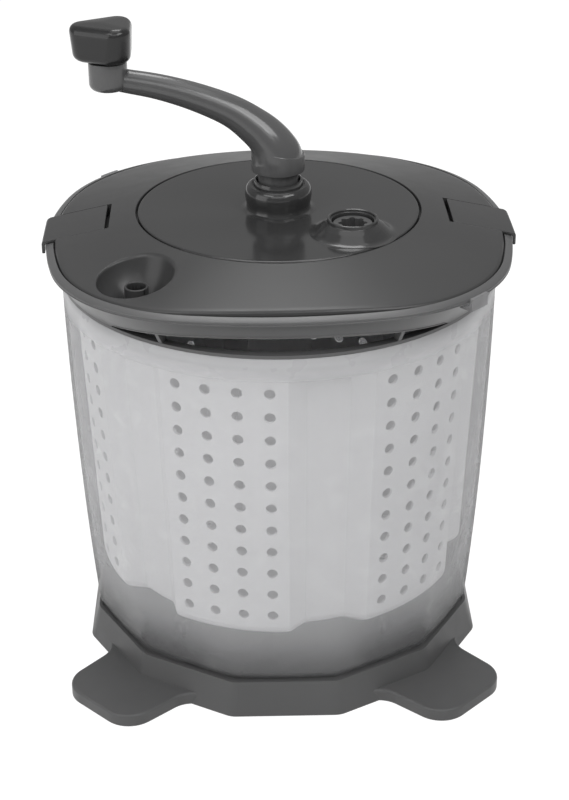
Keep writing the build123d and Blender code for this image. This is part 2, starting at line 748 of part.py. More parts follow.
def pinion():
    body = gear(PINION_TEETH, 135 + 180 / PINION_TEETH) + rod(HUB_R, GEAR_LOW_Z, PINION_HUB_TOP_Z)
    body -= splined_rod(SPLINE_GAP, 344, PINION_HUB_TOP_Z)
    body -= rod(3.05, GEAR_LOW_Z, 342)
    px, py = pinion_place()
    return Pos(px, py) * body


def pinion_pin():
    px, py = pinion_place()
    collar = rod(7, PAN_FLOOR_Z + PAN_FLOOR_T, 332.7)
    return Pos(px, py) * (rod(3, PAN_FLOOR_Z, 341) + collar)


# Latches

def latch(side):
    """Strap that follows the lid's cone, crosses the rim and turns down outside it."""
    half = STRAP_WIDTH / 2
    outer_x = HOOK_X + HOOK_THICK
    strap = block(STRAP_END_X, outer_x, -half, half, 305, 355)
    strap = strap & below_cone(0)
    strap -= below_cone(STRAP_THICK)
    strap += block(HOOK_X, outer_x, -half, half, HOOK_LOW_Z, cone_z(outer_x) - 0.5)
    bend = [e for e in strap.edges() if e.center().X > outer_x - 0.1 and e.center().Z > 332]
    strap = fillet(bend, STRAP_BEND)
    knuckle = Pos(STRAP_PIN_X, 0, STRAP_PIN_Z) * Rot(90, 0, 0) * Cylinder(KNUCKLE_R, STRAP_WIDTH)
    web = block(STRAP_PIN_X - 2, STRAP_PIN_X + 2, -half, half, STRAP_PIN_Z, cone_z(STRAP_PIN_X) - 1)
    strap += knuckle + web
    strap -= Pos(STRAP_PIN_X, 0, STRAP_PIN_Z) * Rot(90, 0, 0) * Cylinder(STRAP_PIN_R + 0.06, STRAP_WIDTH)
    return strap_place(side) * strap


def latch_pin(side):
    pin = Rot(90, 0, 0) * Cylinder(STRAP_PIN_R, STRAP_WIDTH + 5)
    return Pos(side * STRAP_PIN_X, STRAP_Y, STRAP_PIN_Z) * pin


# Crank

ARM_STATIONS = (
    # distance from the axis, height, tilt of the section and its half size
    (0.0, CRANK_HUB_Z, 0, CRANK_HUB_R),
    (1.0, 389.5, 9, 18.0),
    (7.2, 403.0, 28, 14.6),
    (16.9, 412.2, 40, 13.5),
    (33.2, 424.2, 54, 11.6),
    (60.0, 435.4, 69, 10.2),
    (84.6, 443.0, 77, 9.1),
    (107.0, 446.8, 81, 8.5),
    (117.0, 449.4, 81, 5.0),
)


def crank_arm():
    """Arm that leans out of its hub towards -X and ends in an upright post."""
    sections = []
    for reach, height, tilt, half in ARM_STATIONS:
        plane = Plane(origin=(-reach, 0, height), x_dir=(0, 1, 0),
                      z_dir=(-sin(radians(tilt)), 0, cos(radians(tilt))))
        sections.append(plane * Circle(half))
    arm = loft(sections)
    hub = rod(CRANK_HUB_R, CRANK_HUB_Z, 386.5)
    post = Pos(-CRANK_R, 0, 0) * rod(POST_R, POST_LOW_Z, POST_TOP_Z)
    post = fillet(post.edges().sort_by(Axis.Z)[0], 5)
    body = arm + hub + post
    body -= rod(NECK_R, CRANK_HUB_Z, CRANK_HUB_Z + 6)
    body -= rod(2, CRANK_HUB_Z + 6, 396)
    return body - Pos(-CRANK_R, 0, 0) * rod(3, POST_LOW_Z + 4, POST_TOP_Z)


def crank_spigot():
    neck = rod(NECK_R, DRIVE_HUB_TOP_Z + 0.3, CRANK_HUB_Z + 6)
    spigot = neck + splined_rod(0, 344, DRIVE_HUB_TOP_Z + 0.3)
    return spigot - rod(2, 350, CRANK_HUB_Z + 6) - rod(4, 344, 350)


def spigot_screw():
    return Pos(0, 0, 350) * screw(2, 3.8, 3, 45)


def knob_axle():
    pin = rod(3, POST_LOW_Z + 4, 483) + rod(5.5, 483, 485)
    return Pos(-CRANK_R, 0, 0) * pin


def knob_section(z, inset):
    """Rounded triangle with its point outwards, away from the crank's axis."""
    share = (z - KNOB_LOW_Z) / (KNOB_TOP_Z - KNOB_LOW_Z)
    tip, back, half, corner = [a + (b - a) * share for a, b in zip(KNOB_FOOT, KNOB_CROWN)]
    centres = [(tip + corner, 0), (back - corner, half - corner), (back - corner, corner - half)]
    rounded = offset(make_face(Polyline(*centres, close=True)), corner - inset)
    return Pos(-CRANK_R, 0, z) * rounded


def knob():
    sections = []
    for turn in (90, 60, 30, 0):
        up = 1 - sin(radians(turn))
        inset = KNOB_FOOT_ROUND * (1 - cos(radians(turn)))
        sections.append(knob_section(KNOB_LOW_Z + KNOB_FOOT_ROUND * up, inset))
    for turn in (0, 30, 60, 90):
        down = 1 - sin(radians(turn))
        inset = KNOB_CROWN_ROUND * (1 - cos(radians(turn)))
        sections.append(knob_section(KNOB_TOP_Z - KNOB_CROWN_ROUND * down, inset))
    body = loft(sections, ruled=True)
    bore = Pos(-CRANK_R, 0, 0) * (rod(3.06, KNOB_LOW_Z, 483) + rod(5.8, 482.7, 485.3))
    return body - bore


PIECES = {
    "base_tray": base_tray,
    "foot_pads": foot_pads,
    "base_screws": base_screws,
    "outer_tub": outer_tub,
    "sill_ring": sill_ring,
    "slot_posts": slot_posts,
    "rim_collar": rim_collar,
    "collar_clips": collar_clips,
    "pivot_pin": pivot_pin,
    "pivot_bush": pivot_bush,
    "wash_basket": wash_basket,
    "agitator_column": agitator_column,
    "column_screws": column_screws,
    "lid_shell": lid_shell,
    "lid_seal": lid_seal,
    "gear_cover": gear_cover,
    "cover_screws": cover_screws,
    "drive_bush": drive_bush,
    "drive_gear": drive_gear,
    "drive_dog": drive_dog,
    "dog_screw": dog_screw,
    "pinion": pinion,
    "pinion_pin": pinion_pin,
    "latch_left": lambda: latch(-1),
    "latch_right": lambda: latch(1),
    "latch_pin_left": lambda: latch_pin(-1),
    "latch_pin_right": lambda: latch_pin(1),
    "crank_arm": crank_arm,
    "crank_spigot": crank_spigot,
    "spigot_screw": spigot_screw,
    "knob_axle": knob_axle,
    "knob": knob,
}

if __name__ == "__main__":
    os.makedirs("parts", exist_ok=True)
    for name, make in PIECES.items():
        write(name, make())
        print(name)
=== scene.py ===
# %% [markdown]
# # A hand-cranked camping washer in Blender
#
# The machine is a milky plastic tub with a perforated basket inside it, a dark geared lid with a
# crank on top, and a dark tray with four foot plates below. The exact solids come from the CAD
# model, already in place, in metres. This lesson dresses them: it gives each piece its moulded
# edges and its plastic, and it sets up the studio in which the product was photographed.

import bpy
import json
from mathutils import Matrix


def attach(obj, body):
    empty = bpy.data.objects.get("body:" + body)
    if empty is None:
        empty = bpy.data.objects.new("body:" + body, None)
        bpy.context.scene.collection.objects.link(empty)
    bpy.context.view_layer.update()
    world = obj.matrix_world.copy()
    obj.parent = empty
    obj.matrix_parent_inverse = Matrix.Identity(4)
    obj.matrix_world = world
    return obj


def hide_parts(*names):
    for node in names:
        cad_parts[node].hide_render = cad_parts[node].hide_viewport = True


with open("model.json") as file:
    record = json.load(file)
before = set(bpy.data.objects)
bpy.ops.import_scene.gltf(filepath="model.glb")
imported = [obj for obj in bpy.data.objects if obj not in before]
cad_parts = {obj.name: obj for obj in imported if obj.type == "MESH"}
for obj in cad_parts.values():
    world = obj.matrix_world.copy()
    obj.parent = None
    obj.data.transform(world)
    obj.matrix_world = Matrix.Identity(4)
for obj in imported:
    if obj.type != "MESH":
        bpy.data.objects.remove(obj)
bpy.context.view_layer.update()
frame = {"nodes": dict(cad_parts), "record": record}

import json
from math import atan2, cos, hypot, pi, radians, sin, sqrt

import bmesh
import bpy
from mathutils import Matrix, Vector

MM = 0.001
nodes = frame["nodes"]

# %% [markdown]
# ## The camera
#
# The product stands upright in a tall picture and the camera looks down on it by about 27 degrees
# from 1.44 metres away. A camera could be placed by eye, but the round rim, the twelve-sided foot
# and the two straps fix it well, so it is worked out once and written as a distance, a height, a
# small turn round the machine and a lens. The long lens keeps the ellipses of lid and base alike.

# %% Place the camera
DISTANCE = 1438.0 * MM
DOWNWARD = radians(27.17)
TURN = radians(-1.53)
AIM_HEIGHT = 189.03 * MM
PAN = radians(0.15)
ROLL = radians(-0.45)
FOCAL_PIXELS = 1845.1
PICTURE_HEIGHT = 800
SENSOR = 36.0


def make_camera():
    data = bpy.data.cameras.new("studio_camera")
    data.sensor_width = SENSOR
    data.lens = SENSOR * FOCAL_PIXELS / PICTURE_HEIGHT
    camera = bpy.data.objects.new("studio_camera", data)
    bpy.context.scene.collection.objects.link(camera)
    turn = Matrix.Rotation(TURN, 4, "Z")
    place = turn @ Vector((0, -DISTANCE * cos(DOWNWARD), AIM_HEIGHT + DISTANCE * sin(DOWNWARD)))
    look = turn @ Matrix.Rotation(-PAN, 4, "Z") @ Vector((0, cos(DOWNWARD), -sin(DOWNWARD)))
    facing = look.to_track_quat("-Z", "Y").to_matrix().to_4x4()
    camera.matrix_world = Matrix.Translation(place) @ facing @ Matrix.Rotation(ROLL, 4, "Z")
    data.clip_start, data.clip_end = 0.05, 20
    bpy.context.scene.camera = camera
    return camera


camera = make_camera()
print("camera at", [round(v, 4) for v in camera.location], "lens", round(camera.data.lens, 2))

# %% [markdown]
# ## The studio
#
# The photograph is a cut-out on white: no horizon, and soft light from large panels. A white sheet
# for the floor keeps a soft contact shadow. The white behind could come from strong lamps on a
# backdrop, but they would bleach the machine too. So it comes from Light Path: the rays that the
# camera sees meet a white world, and the rays that light the machine meet a dimmer one.
#
# Inside the machine there is no white studio. Where the camera looks at the floor or the world
# through the milky tub, both show a dim glow instead: painted shade for the dark inside of the machine.

# %% Small helpers for shader nodes


def arithmetic(tree, operation, first, second):
    """A Math node between two sockets, or between a socket and a number."""
    node = tree.nodes.new("ShaderNodeMath")
    node.operation = operation
    for socket, value in zip(node.inputs, (first, second)):
        if isinstance(value, (int, float)):
            socket.default_value = value
        else:
            tree.links.new(value, socket)
    return node.outputs[0]


def blend(tree, share, first, second):
    """A Mix Shader between two shader nodes; share is a socket."""
    mix = tree.nodes.new("ShaderNodeMixShader")
    tree.links.new(share, mix.inputs["Fac"])
    tree.links.new(first.outputs[0], mix.inputs[1])
    tree.links.new(second.outputs[0], mix.inputs[2])
    return mix


def plain_light(tree, kind, strength):
    """White light of one strength, for the world or for a glowing sheet."""
    light = tree.nodes.new(kind)
    light.inputs["Strength"].default_value = strength
    return light


def backdrop_share(tree, gloss_share):
    """1 for the rays that should see the white backdrop, and gloss_share for reflections."""
    paths = tree.nodes.new("ShaderNodeLightPath")
    gloss = arithmetic(tree, "MULTIPLY", paths.outputs["Is Glossy Ray"], gloss_share)
    seen = arithmetic(tree, "MAXIMUM", paths.outputs["Is Camera Ray"], gloss)
    return arithmetic(tree, "MAXIMUM", seen, paths.outputs["Is Transmission Ray"])


def painted_shade_behind(tree, shader, strength, kind):
    """The shader as it is, but a dim glow where the camera looks at it through the milky tub: painted
    shade.
    """
    paths = tree.nodes.new("ShaderNodeLightPath")
    through = arithmetic(tree, "GREATER_THAN", paths.outputs["Transparent Depth"], 0.5)
    inside = arithmetic(tree, "MULTIPLY", through, paths.outputs["Is Camera Ray"])
    return blend(tree, inside, shader, plain_light(tree, kind, strength))


print("shader helpers ready")

# %% Floor and world
FLOOR_HALF = 6.0
FLOOR_TONE, FLOOR_GLOW, FLOOR_GLOW_SHARE, FLOOR_SHADE_GLOW = 0.93, 1.15, 0.8, 0.1


def make_floor():
    mesh = bpy.data.meshes.new("floor")
    corners = [(x * FLOOR_HALF, y * FLOOR_HALF, 0) for x, y in ((-1, -1), (1, -1), (1, 1), (-1, 1))]
    mesh.from_pydata(corners, [], [(0, 1, 2, 3)])
    floor = bpy.data.objects.new("floor", mesh)
    bpy.context.scene.collection.objects.link(floor)
    material = bpy.data.materials.new("white_sheet")
    material.use_nodes = True
    tree = material.node_tree
    tree.nodes.clear()
    out = tree.nodes.new("ShaderNodeOutputMaterial")
    lit = tree.nodes.new("ShaderNodeBsdfDiffuse")
    lit.inputs["Color"].default_value = (FLOOR_TONE, FLOOR_TONE, FLOOR_TONE, 1)
    glow = plain_light(tree, "ShaderNodeEmission", FLOOR_GLOW)
    share = arithmetic(tree, "MULTIPLY", backdrop_share(tree, 1.0), FLOOR_GLOW_SHARE)
    # seen through the milky tub, the sheet shows a dim glow: painted shade
    sheet = painted_shade_behind(tree, blend(tree, share, lit, glow), FLOOR_SHADE_GLOW, "ShaderNodeEmission")
    tree.links.new(sheet.outputs[0], out.inputs["Surface"])
    mesh.materials.append(material)


def make_world(daylight, backdrop, gloss_share, dim):
    """Daylight on surfaces, white behind for the camera, and a dim glow as painted shade where it looks
    through the tub.
    """
    world = bpy.data.worlds.new("studio_world")
    bpy.context.scene.world = world
    world.use_nodes = True
    tree = world.node_tree
    tree.nodes.clear()
    out = tree.nodes.new("ShaderNodeOutputWorld")
    soft = plain_light(tree, "ShaderNodeBackground", daylight)
    white = plain_light(tree, "ShaderNodeBackground", backdrop)
    for light in (soft, white):
        light.inputs["Color"].default_value = (1, 1, 1, 1)
    sky = blend(tree, backdrop_share(tree, gloss_share), soft, white)
    # seen through the milky tub, the world shows a dim glow: painted shade
    tree.links.new(painted_shade_behind(tree, sky, dim, "ShaderNodeBackground").outputs[0], out.inputs["Surface"])


make_floor()
# dim is the strength of the painted shade seen through the tub
make_world(daylight=0.352, backdrop=1.0, gloss_share=0.05, dim=0.08)
print("floor and world ready")

# %% [markdown]
# ### Lamps
#
# Two small windows at the sides leave clear bright shapes on the glossy boss and crank. The large
# panels at the front and the left fill the tub, and three soft lamps from above and behind give
# the flat disc and the cone of the lid their tones. Area lamps do all this: their size sets how
# soft the light is, and their shape is what a glossy skin mirrors.

# %% Lamps


def make_lamp(name, place, aim, size, power):
    data = bpy.data.lights.new(name, "AREA")
    data.shape = "RECTANGLE"
    data.size, data.size_y = size
    data.energy = power
    lamp = bpy.data.objects.new(name, data)
    bpy.context.scene.collection.objects.link(lamp)
    lamp.location = place
    lamp.rotation_euler = (Vector(aim) - Vector(place)).to_track_quat("-Z", "Y").to_euler()


AIM = (0, 0, 0.35)
LAMPS = (
    # name, place, size, power in watts
    ("window_right", (0.76, -0.76, 1.54), (0.9, 0.6), 9),
    ("window_left", (-0.76, -0.76, 1.54), (0.8, 0.5), 4.5),
    ("panel_left", (-1.7, -0.9, 0.8), (1.5, 1.4), 12),
    ("panel_front", (0.1, -1.5, 1.55), (1.8, 0.7), 8),
    ("key_lamp", (0.0, 0.84, 2.17), (0.8, 0.8), 12),
    ("top_panel", (0.0, -0.1, 2.2), (1.5, 1.3), 8),
    ("back_panel", (0.0, 1.3, 1.9), (2.0, 1.4), 2),
)
for name, place, size, power in LAMPS:
    make_lamp(name, place, AIM, size, power)

# %% [markdown]
# ## Plastics
#
# Every large piece is injection-moulded plastic. Up close such a skin isn't one flat colour: the
# pigment clouds a little, the gloss changes from place to place, and a very fine orange-peel breaks
# up reflections. Each finish is one Principled shader whose colour, roughness and bump come from
# noise in the piece's own coordinates.

# %% A moulded plastic


def grey(value):
    """Linear grey from a screen grey between 0 and 255."""
    s = value / 255
    v = s / 12.92 if s <= 0.04045 else ((s + 0.055) / 1.055) ** 2.4
    return (v, v, v * 1.01, 1)


def moulded_plastic(name, tone, cloud=0.05, rough=0.35, rough_spread=0.06, peel=0.02, sheen_level=0.5):
    material = bpy.data.materials.new(name)
    material.use_nodes = True
    tree = material.node_tree
    tree.nodes.clear()
    out = tree.nodes.new("ShaderNodeOutputMaterial")
    skin = tree.nodes.new("ShaderNodeBsdfPrincipled")
    skin.inputs["Specular IOR Level"].default_value = sheen_level
    place = tree.nodes.new("ShaderNodeTexCoord")
    clouds = tree.nodes.new("ShaderNodeTexNoise")
    clouds.inputs["Scale"].default_value = 9
    clouds.inputs["Detail"].default_value = 4
    ramp = tree.nodes.new("ShaderNodeValToRGB")
    base = grey(tone)
    ramp.color_ramp.elements[0].position = 0.3
    ramp.color_ramp.elements[1].position = 0.7
    ramp.color_ramp.elements[0].color = [c * (1 - cloud) for c in base[:3]] + [1]
    ramp.color_ramp.elements[1].color = [c * (1 + cloud) for c in base[:3]] + [1]
    speckle = tree.nodes.new("ShaderNodeTexNoise")
    speckle.inputs["Scale"].default_value = 60
    speckle.inputs["Detail"].default_value = 3
    gloss = tree.nodes.new("ShaderNodeMapRange")
    gloss.inputs["From Min"].default_value = 0.3
    gloss.inputs["From Max"].default_value = 0.7
    gloss.inputs["To Min"].default_value = rough - rough_spread
    gloss.inputs["To Max"].default_value = rough + rough_spread
    grain = tree.nodes.new("ShaderNodeTexNoise")
    grain.inputs["Scale"].default_value = 900
    grain.inputs["Detail"].default_value = 2
    bump = tree.nodes.new("ShaderNodeBump")
    bump.inputs["Strength"].default_value = peel
    bump.inputs["Distance"].default_value = 0.0005
    for texture in (clouds, speckle, grain):
        tree.links.new(place.outputs["Object"], texture.inputs["Vector"])
    tree.links.new(clouds.outputs["Fac"], ramp.inputs["Fac"])
    tree.links.new(ramp.outputs["Color"], skin.inputs["Base Color"])
    tree.links.new(speckle.outputs["Fac"], gloss.inputs["Value"])
    tree.links.new(gloss.outputs["Result"], skin.inputs["Roughness"])
    tree.links.new(grain.outputs["Fac"], bump.inputs["Height"])
    tree.links.new(bump.outputs["Normal"], skin.inputs["Normal"])
    tree.links.new(skin.outputs[0], out.inputs["Surface"])
    return material


print("plastic helper ready")

# %% [markdown]
# ### Milky plastic
#
# The tub is thin and milky: the basket shows through, blurred in tone but not in outline. True
# scattering inside a thin wall is slow and noisy, so the skin is a mix of a pale plastic and a
# clear window. The share of each follows the height, and so does the tone. The tone paints shade:
# the wall is darker towards its foot, over the empty space below the basket, where less light
# comes through it than in front of the basket.

# %% A milky plastic
PALE = 200
SHADOW_SHARE = 0.35


def height_ramp(tree, stops, low, high):
    """Colour ramp that follows the height in the piece's own coordinates, in millimetres."""
    place = tree.nodes.new("ShaderNodeTexCoord")
    split = tree.nodes.new("ShaderNodeSeparateXYZ")
    span = tree.nodes.new("ShaderNodeMapRange")
    span.inputs["From Min"].default_value = low * MM
    span.inputs["From Max"].default_value = high * MM
    ramp = tree.nodes.new("ShaderNodeValToRGB")
    tree.links.new(place.outputs["Object"], split.inputs[0])
    tree.links.new(split.outputs["Z"], span.inputs["Value"])
    tree.links.new(span.outputs["Result"], ramp.inputs["Fac"])
    elements = ramp.color_ramp.elements
    while len(elements) < len(stops):
        elements.new(0.5)
    for element, (height, colour) in zip(elements, stops):
        element.position = (height - low) / (high - low)
        element.color = colour
    return ramp


def milky_plastic(name, tones, veil, low=25, high=305, rough=0.3):
    """Translucent skin: part of the light goes straight through, the rest meets a pale plastic.

    tones and veil are (height, value) stops: a screen grey, which paints shade where it darkens the skin,
    and the share that doesn't go through.
    Lamplight passes more freely, as it does in a plastic that scatters it forwards.
    """
    material = moulded_plastic(name, PALE, cloud=0.015, rough=rough, peel=0.01)
    tree = material.node_tree
    out = next(n for n in tree.nodes if n.type == "OUTPUT_MATERIAL")
    skin = next(n for n in tree.nodes if n.type == "BSDF_PRINCIPLED")
    clouds = skin.inputs["Base Color"].links[0].from_socket
    shade = height_ramp(tree, [(z, grey(tone)) for z, tone in tones], low, high)
    tint = tree.nodes.new("ShaderNodeMix")
    tint.data_type = "RGBA"
    tint.blend_type = "MULTIPLY"
    tint.inputs["Factor"].default_value = 1.0
    lift = tree.nodes.new("ShaderNodeHueSaturation")
    lift.inputs["Value"].default_value = 1 / grey(PALE)[0]
    tree.links.new(clouds, lift.inputs["Color"])
    tree.links.new(shade.outputs["Color"], tint.inputs["A"])
    tree.links.new(lift.outputs["Color"], tint.inputs["B"])
    tree.links.new(tint.outputs["Result"], skin.inputs["Base Color"])
    window = tree.nodes.new("ShaderNodeBsdfTransparent")
    thick = height_ramp(tree, [(z, (v, v, v, 1)) for z, v in veil], low, high)
    paths = tree.nodes.new("ShaderNodeLightPath")
    spread = tree.nodes.new("ShaderNodeMapRange")
    spread.inputs["To Min"].default_value = 1.0
    spread.inputs["To Max"].default_value = SHADOW_SHARE
    tree.links.new(paths.outputs["Is Shadow Ray"], spread.inputs["Value"])
    thin = arithmetic(tree, "MULTIPLY", thick.outputs["Color"], spread.outputs["Result"])
    tree.links.new(blend(tree, thin, window, skin).outputs[0], out.inputs["Surface"])
    return material


print("milky plastic ready")

# %% [markdown]
# ### The finishes
#
# The lid, the cover and the crank are all dark grey, but not the same grey, and the cover
# and crank shine more than the satin lid. Every solid gets the finish of its slot in the record;
# a few pieces have a tone of their own. The knob is moulded in the lid's plastic, but its own
# copy is glossier and darker, and the darker tone is painted shade against the strong light on its crown.

# %% Finishes for all solids


def steel(name, tone, rough):
    material = moulded_plastic(name, tone, cloud=0.08, rough=rough, peel=0.05)
    skin = next(n for n in material.node_tree.nodes if n.type == "BSDF_PRINCIPLED")
    skin.inputs["Metallic"].default_value = 1.0
    return material


LID = moulded_plastic("lid_grey", 54, rough=0.3, rough_spread=0.02, sheen_level=0.3)
# the knob is lid plastic; its darker tone is painted shade for the strong light on its crown
KNOB_PAINTED_SHADE = moulded_plastic("knob_shaded_grey", 36, rough=0.2, rough_spread=0.02, sheen_level=0.35)
COVER = moulded_plastic("cover_grey", 48, rough=0.13, rough_spread=0.02, peel=0.01, sheen_level=0.42)
CRANK = moulded_plastic("crank_grey", 76, rough=0.17, rough_spread=0.02, peel=0.01, sheen_level=0.5)
COLLAR = moulded_plastic("collar_grey", 80, rough=0.34, rough_spread=0.02, sheen_level=0.4)
SILL = moulded_plastic("sill_grey", 84, rough=0.4, sheen_level=0.35)
BASE = moulded_plastic("base_grey", 80, rough=0.45, sheen_level=0.3)
# the tub's tone stops are painted shade: darker towards the foot, below the basket
TUB = milky_plastic("tub_milk", [(30, 105), (45, 132), (62, 170), (80, 190), (285, 186), (303, 180)],
                    [(30, 0.36), (284, 0.33), (297, 0.75)])
CLIP = milky_plastic("clip_milk", [(315, 120), (340, 135)], [(315, 0.6), (340, 0.6)], low=310, high=345)
BASKET = moulded_plastic("basket_white", 234, rough=0.45, cloud=0.02)
GEAR = moulded_plastic("gear_grey", 66, rough=0.45)
RUBBER = moulded_plastic("seal_black", 32, rough=0.8, sheen_level=0.2)
SCREW = steel("screw_steel", 150, 0.35)
PIN = steel("pin_steel", 170, 0.22)

FINISHES = {
    "lid_plastic": LID, "cover_plastic": COVER, "crank_plastic": CRANK, "collar_plastic": COLLAR,
    "base_plastic": BASE, "tub_plastic": TUB, "basket_plastic": BASKET, "clip_plastic": CLIP,
    "gear_plastic": GEAR, "seal_rubber": RUBBER, "pad_rubber": RUBBER, "screw_steel": SCREW,
    "pin_steel": PIN,
}
slot_of = {row["node"]: row["material_slot"] for row in frame["record"]["subparts"]}


def dress(piece, material):
    piece.data.materials.clear()
    piece.data.materials.append(material)


# the knob's darker tone is painted shade; the sill's tone is its own
OWN_FINISH = {"knob": KNOB_PAINTED_SHADE, "sill_ring": SILL, "slot_posts": SILL}
for name, piece in nodes.items():
    dress(piece, OWN_FINISH.get(name, FINISHES[slot_of[name]]))
print("finishes:", len(FINISHES))

# %% [markdown]
# ## Making moulded shells
#
# Almost every visible piece is a shell of even thickness with rounded edges. Such a shell could be
# cut from blocks with booleans and bevels, but rows of points give cleaner surfaces: a list of
# rings, each with the same number of points, joined by quads. A closed round trip of rings makes a
# watertight solid, and smooth shading with sharp edges by angle gives the moulded look.

# %% Rings and meshes


def skin(rings, round_trip=True, wrap=True):
    """Quads between each ring and the next; round_trip joins the last ring to the first."""
    count = len(rings[0])
    points = [p for ring in rings for p in ring]
    faces = []
    for a in range(len(rings) if round_trip else len(rings) - 1):
        b = (a + 1) % len(rings)
        for i in range(count if wrap else count - 1):
            j = (i + 1) % count
            faces.append((a * count + i, a * count + j, b * count + j, b * count + i))
    return points, faces


def make_mesh(name, points, faces, sharp=32):
    """A welded mesh object from points in millimetres, smooth but for edges sharper than an angle."""
    mesh = bpy.data.meshes.new(name)
    mesh.from_pydata([Vector(p) * MM for p in points], [], faces)
    work = bmesh.new()
    work.from_mesh(mesh)
    bmesh.ops.remove_doubles(work, verts=work.verts, dist=2e-6)
    bmesh.ops.dissolve_degenerate(work, edges=work.edges, dist=1e-6)
    bmesh.ops.recalc_face_normals(work, faces=work.faces)
    work.to_mesh(mesh)
    work.free()
    mesh.shade_smooth()
    mesh.set_sharp_from_angle(angle=radians(sharp))
    piece = bpy.data.objects.new(name, mesh)
    bpy.context.scene.collection.objects.link(piece)
    return piece


def settle(piece, finish, body, slot, *stands_for):
    """Finish and body of a new piece, and the solids it stands for, which it hides; the record slot is not
    used.
    """
    dress(piece, finish)
    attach(piece, body)
    if stands_for:
        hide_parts(*stands_for)
    print(piece.name, len(piece.data.polygons), "faces")


def lathe(profile, centre=(0, 0), steps=96):
    """Rings round an upright axis from (radius, height) points."""
    rings = []
    for radius, height in profile:
        turns = [2 * pi * k / steps for k in range(steps)]
        rings.append([(centre[0] + radius * cos(t), centre[1] + radius * sin(t), height) for t in turns])
    return rings


print("mesh helpers ready")

# %% [markdown]
# Where a shape has holes, pockets or crossing walls, cutting is simpler than planning the quads.
# The boolean modifier does it, and its result is written back as plain mesh. A rounded profile is
# the other everyday helper: corners of a drawn line turned into short arcs.

# %% Cutting and rounding


def carve(piece, cutters, operation="DIFFERENCE", sharp=32):
    """Cuts other meshes out of a piece, or joins them to it, and keeps the result as plain mesh."""
    for cutter in cutters:
        step = piece.modifiers.new(cutter.name, "BOOLEAN")
        step.operation = operation
        step.solver = "EXACT"
        step.object = cutter
    graph = bpy.context.evaluated_depsgraph_get()
    result = bpy.data.meshes.new_from_object(piece.evaluated_get(graph))
    piece.modifiers.clear()
    old = piece.data
    piece.data = result
    bpy.data.meshes.remove(old)
    for cutter in cutters:
        bpy.data.objects.remove(cutter)
    result.shade_smooth()
    result.set_sharp_from_angle(angle=radians(sharp))
    return piece


def rounded(points, radii, steps=5):
    """A drawn line of (radius, height) points with some of its inner corners turned into arcs."""
    out = []
    for k, (point, radius) in enumerate(zip(points, radii)):
        if radius <= 0 or k in (0, len(points) - 1):
            out.append(tuple(point))
            continue
        here = Vector(point)
        before = (Vector(points[k - 1]) - here).normalized()
        after = (Vector(points[k + 1]) - here).normalized()
        half = before.angle(after) / 2
        reach = radius * cos(half) / sin(half)
        start, end = here + before * reach, here + after * reach
        centre = here + (before + after).normalized() * (radius / sin(half))
        for s in range(steps + 1):
            toward = (start - centre).lerp(end - centre, s / steps)
            out.append(tuple(centre + toward.normalized() * radius))
    return out


def grid_block(name, columns):
    """Closed block between a lower and an upper sheet: columns[i][j] = (x, y, low, high)."""
    rows, cols = len(columns), len(columns[0])
    points = [(x, y, high) for row in columns for x, y, low, high in row]
    points += [(x, y, low) for row in columns for x, y, low, high in row]
    below = rows * cols
    faces = []
    for i in range(rows - 1):
        for j in range(cols - 1):
            a, d = i * cols + j, (i + 1) * cols + j
            b, c = a + 1, d + 1
            faces.append((a, b, c, d))
            faces.append((below + d, below + c, below + b, below + a))
    edge = list(range(cols)) + [i * cols + cols - 1 for i in range(1, rows)]
    edge += [(rows - 1) * cols + j for j in range(cols - 2, -1, -1)]
    edge += [i * cols for i in range(rows - 2, 0, -1)]
    for a, b in zip(edge, edge[1:] + edge[:1]):
        faces.append((b, a, below + a, below + b))
    return make_mesh(name, points, faces)


print("cutting helpers ready")

# %% [markdown]
# ## The lid's outline
#
# Seen from above, the lid is nearly round, but flatter at the front and the back and with tighter
# corners between. It is drawn with tangent arcs. The same outline shapes lid, seal and rim collar,
# so it is sampled once, as points with their outward directions; a step outwards or inwards is then
# exact everywhere.

# %% Sample the outline
LID_SIDE = 165.2
FRONT_ARCS = (160.6, 309.0, 381.0, 110.6)
BACK_ARCS = (163.4, 260.0, 300.0, 120.0)
COVER_R, COVER_GAP = 104.3, 1.0
LID_TOP, LID_SLOPE = 349.4, 0.215


def corner_centre(reach, side_r, middle_r, corner_r):
    side_x, middle_y = LID_SIDE - side_r, reach - middle_r
    to_side, to_middle = side_r - corner_r, middle_r - corner_r
    gap = hypot(side_x, middle_y)
    along = (to_side ** 2 - to_middle ** 2 + gap ** 2) / (2 * gap)
    across = sqrt(to_side ** 2 - along ** 2)
    x = side_x + (-along * side_x - across * middle_y) / gap
    return x, (along * middle_y - across * side_x) / gap


def half_outline(arcs, way, step):
    """Points from the right end of the X axis to the left, by the back or the front."""
    reach, side_r, middle_r, corner_r = arcs
    side_x, middle_y = LID_SIDE - side_r, reach - middle_r
    cx, cy = corner_centre(*arcs)
    side_turn, middle_turn = atan2(cy, cx - side_x), atan2(cy - middle_y, cx)
    half = [
        (side_x, 0, side_r, 0, side_turn),
        (cx, cy, corner_r, side_turn, middle_turn),
        (0, middle_y, middle_r, middle_turn, pi - middle_turn),
        (-cx, cy, corner_r, pi - middle_turn, pi - side_turn),
        (-side_x, 0, side_r, pi - side_turn, pi),
    ]
    samples = []
    for x, y, radius, start, end in half:
        count = max(2, round(abs(end - start) * radius / step))
        for k in range(count):
            turn = start + (end - start) * k / count
            nx, ny = cos(turn), sin(turn)
            samples.append((x + radius * nx, way * (y + radius * ny), nx, way * ny))
    return samples + [(-LID_SIDE, 0, -1, 0)]


def sample_outline(step=2.4):
    return half_outline(BACK_ARCS, 1, step)[:-1] + half_outline(FRONT_ARCS, -1, step)[:0:-1]


OUTLINE = sample_outline()
print("outline points:", len(OUTLINE))

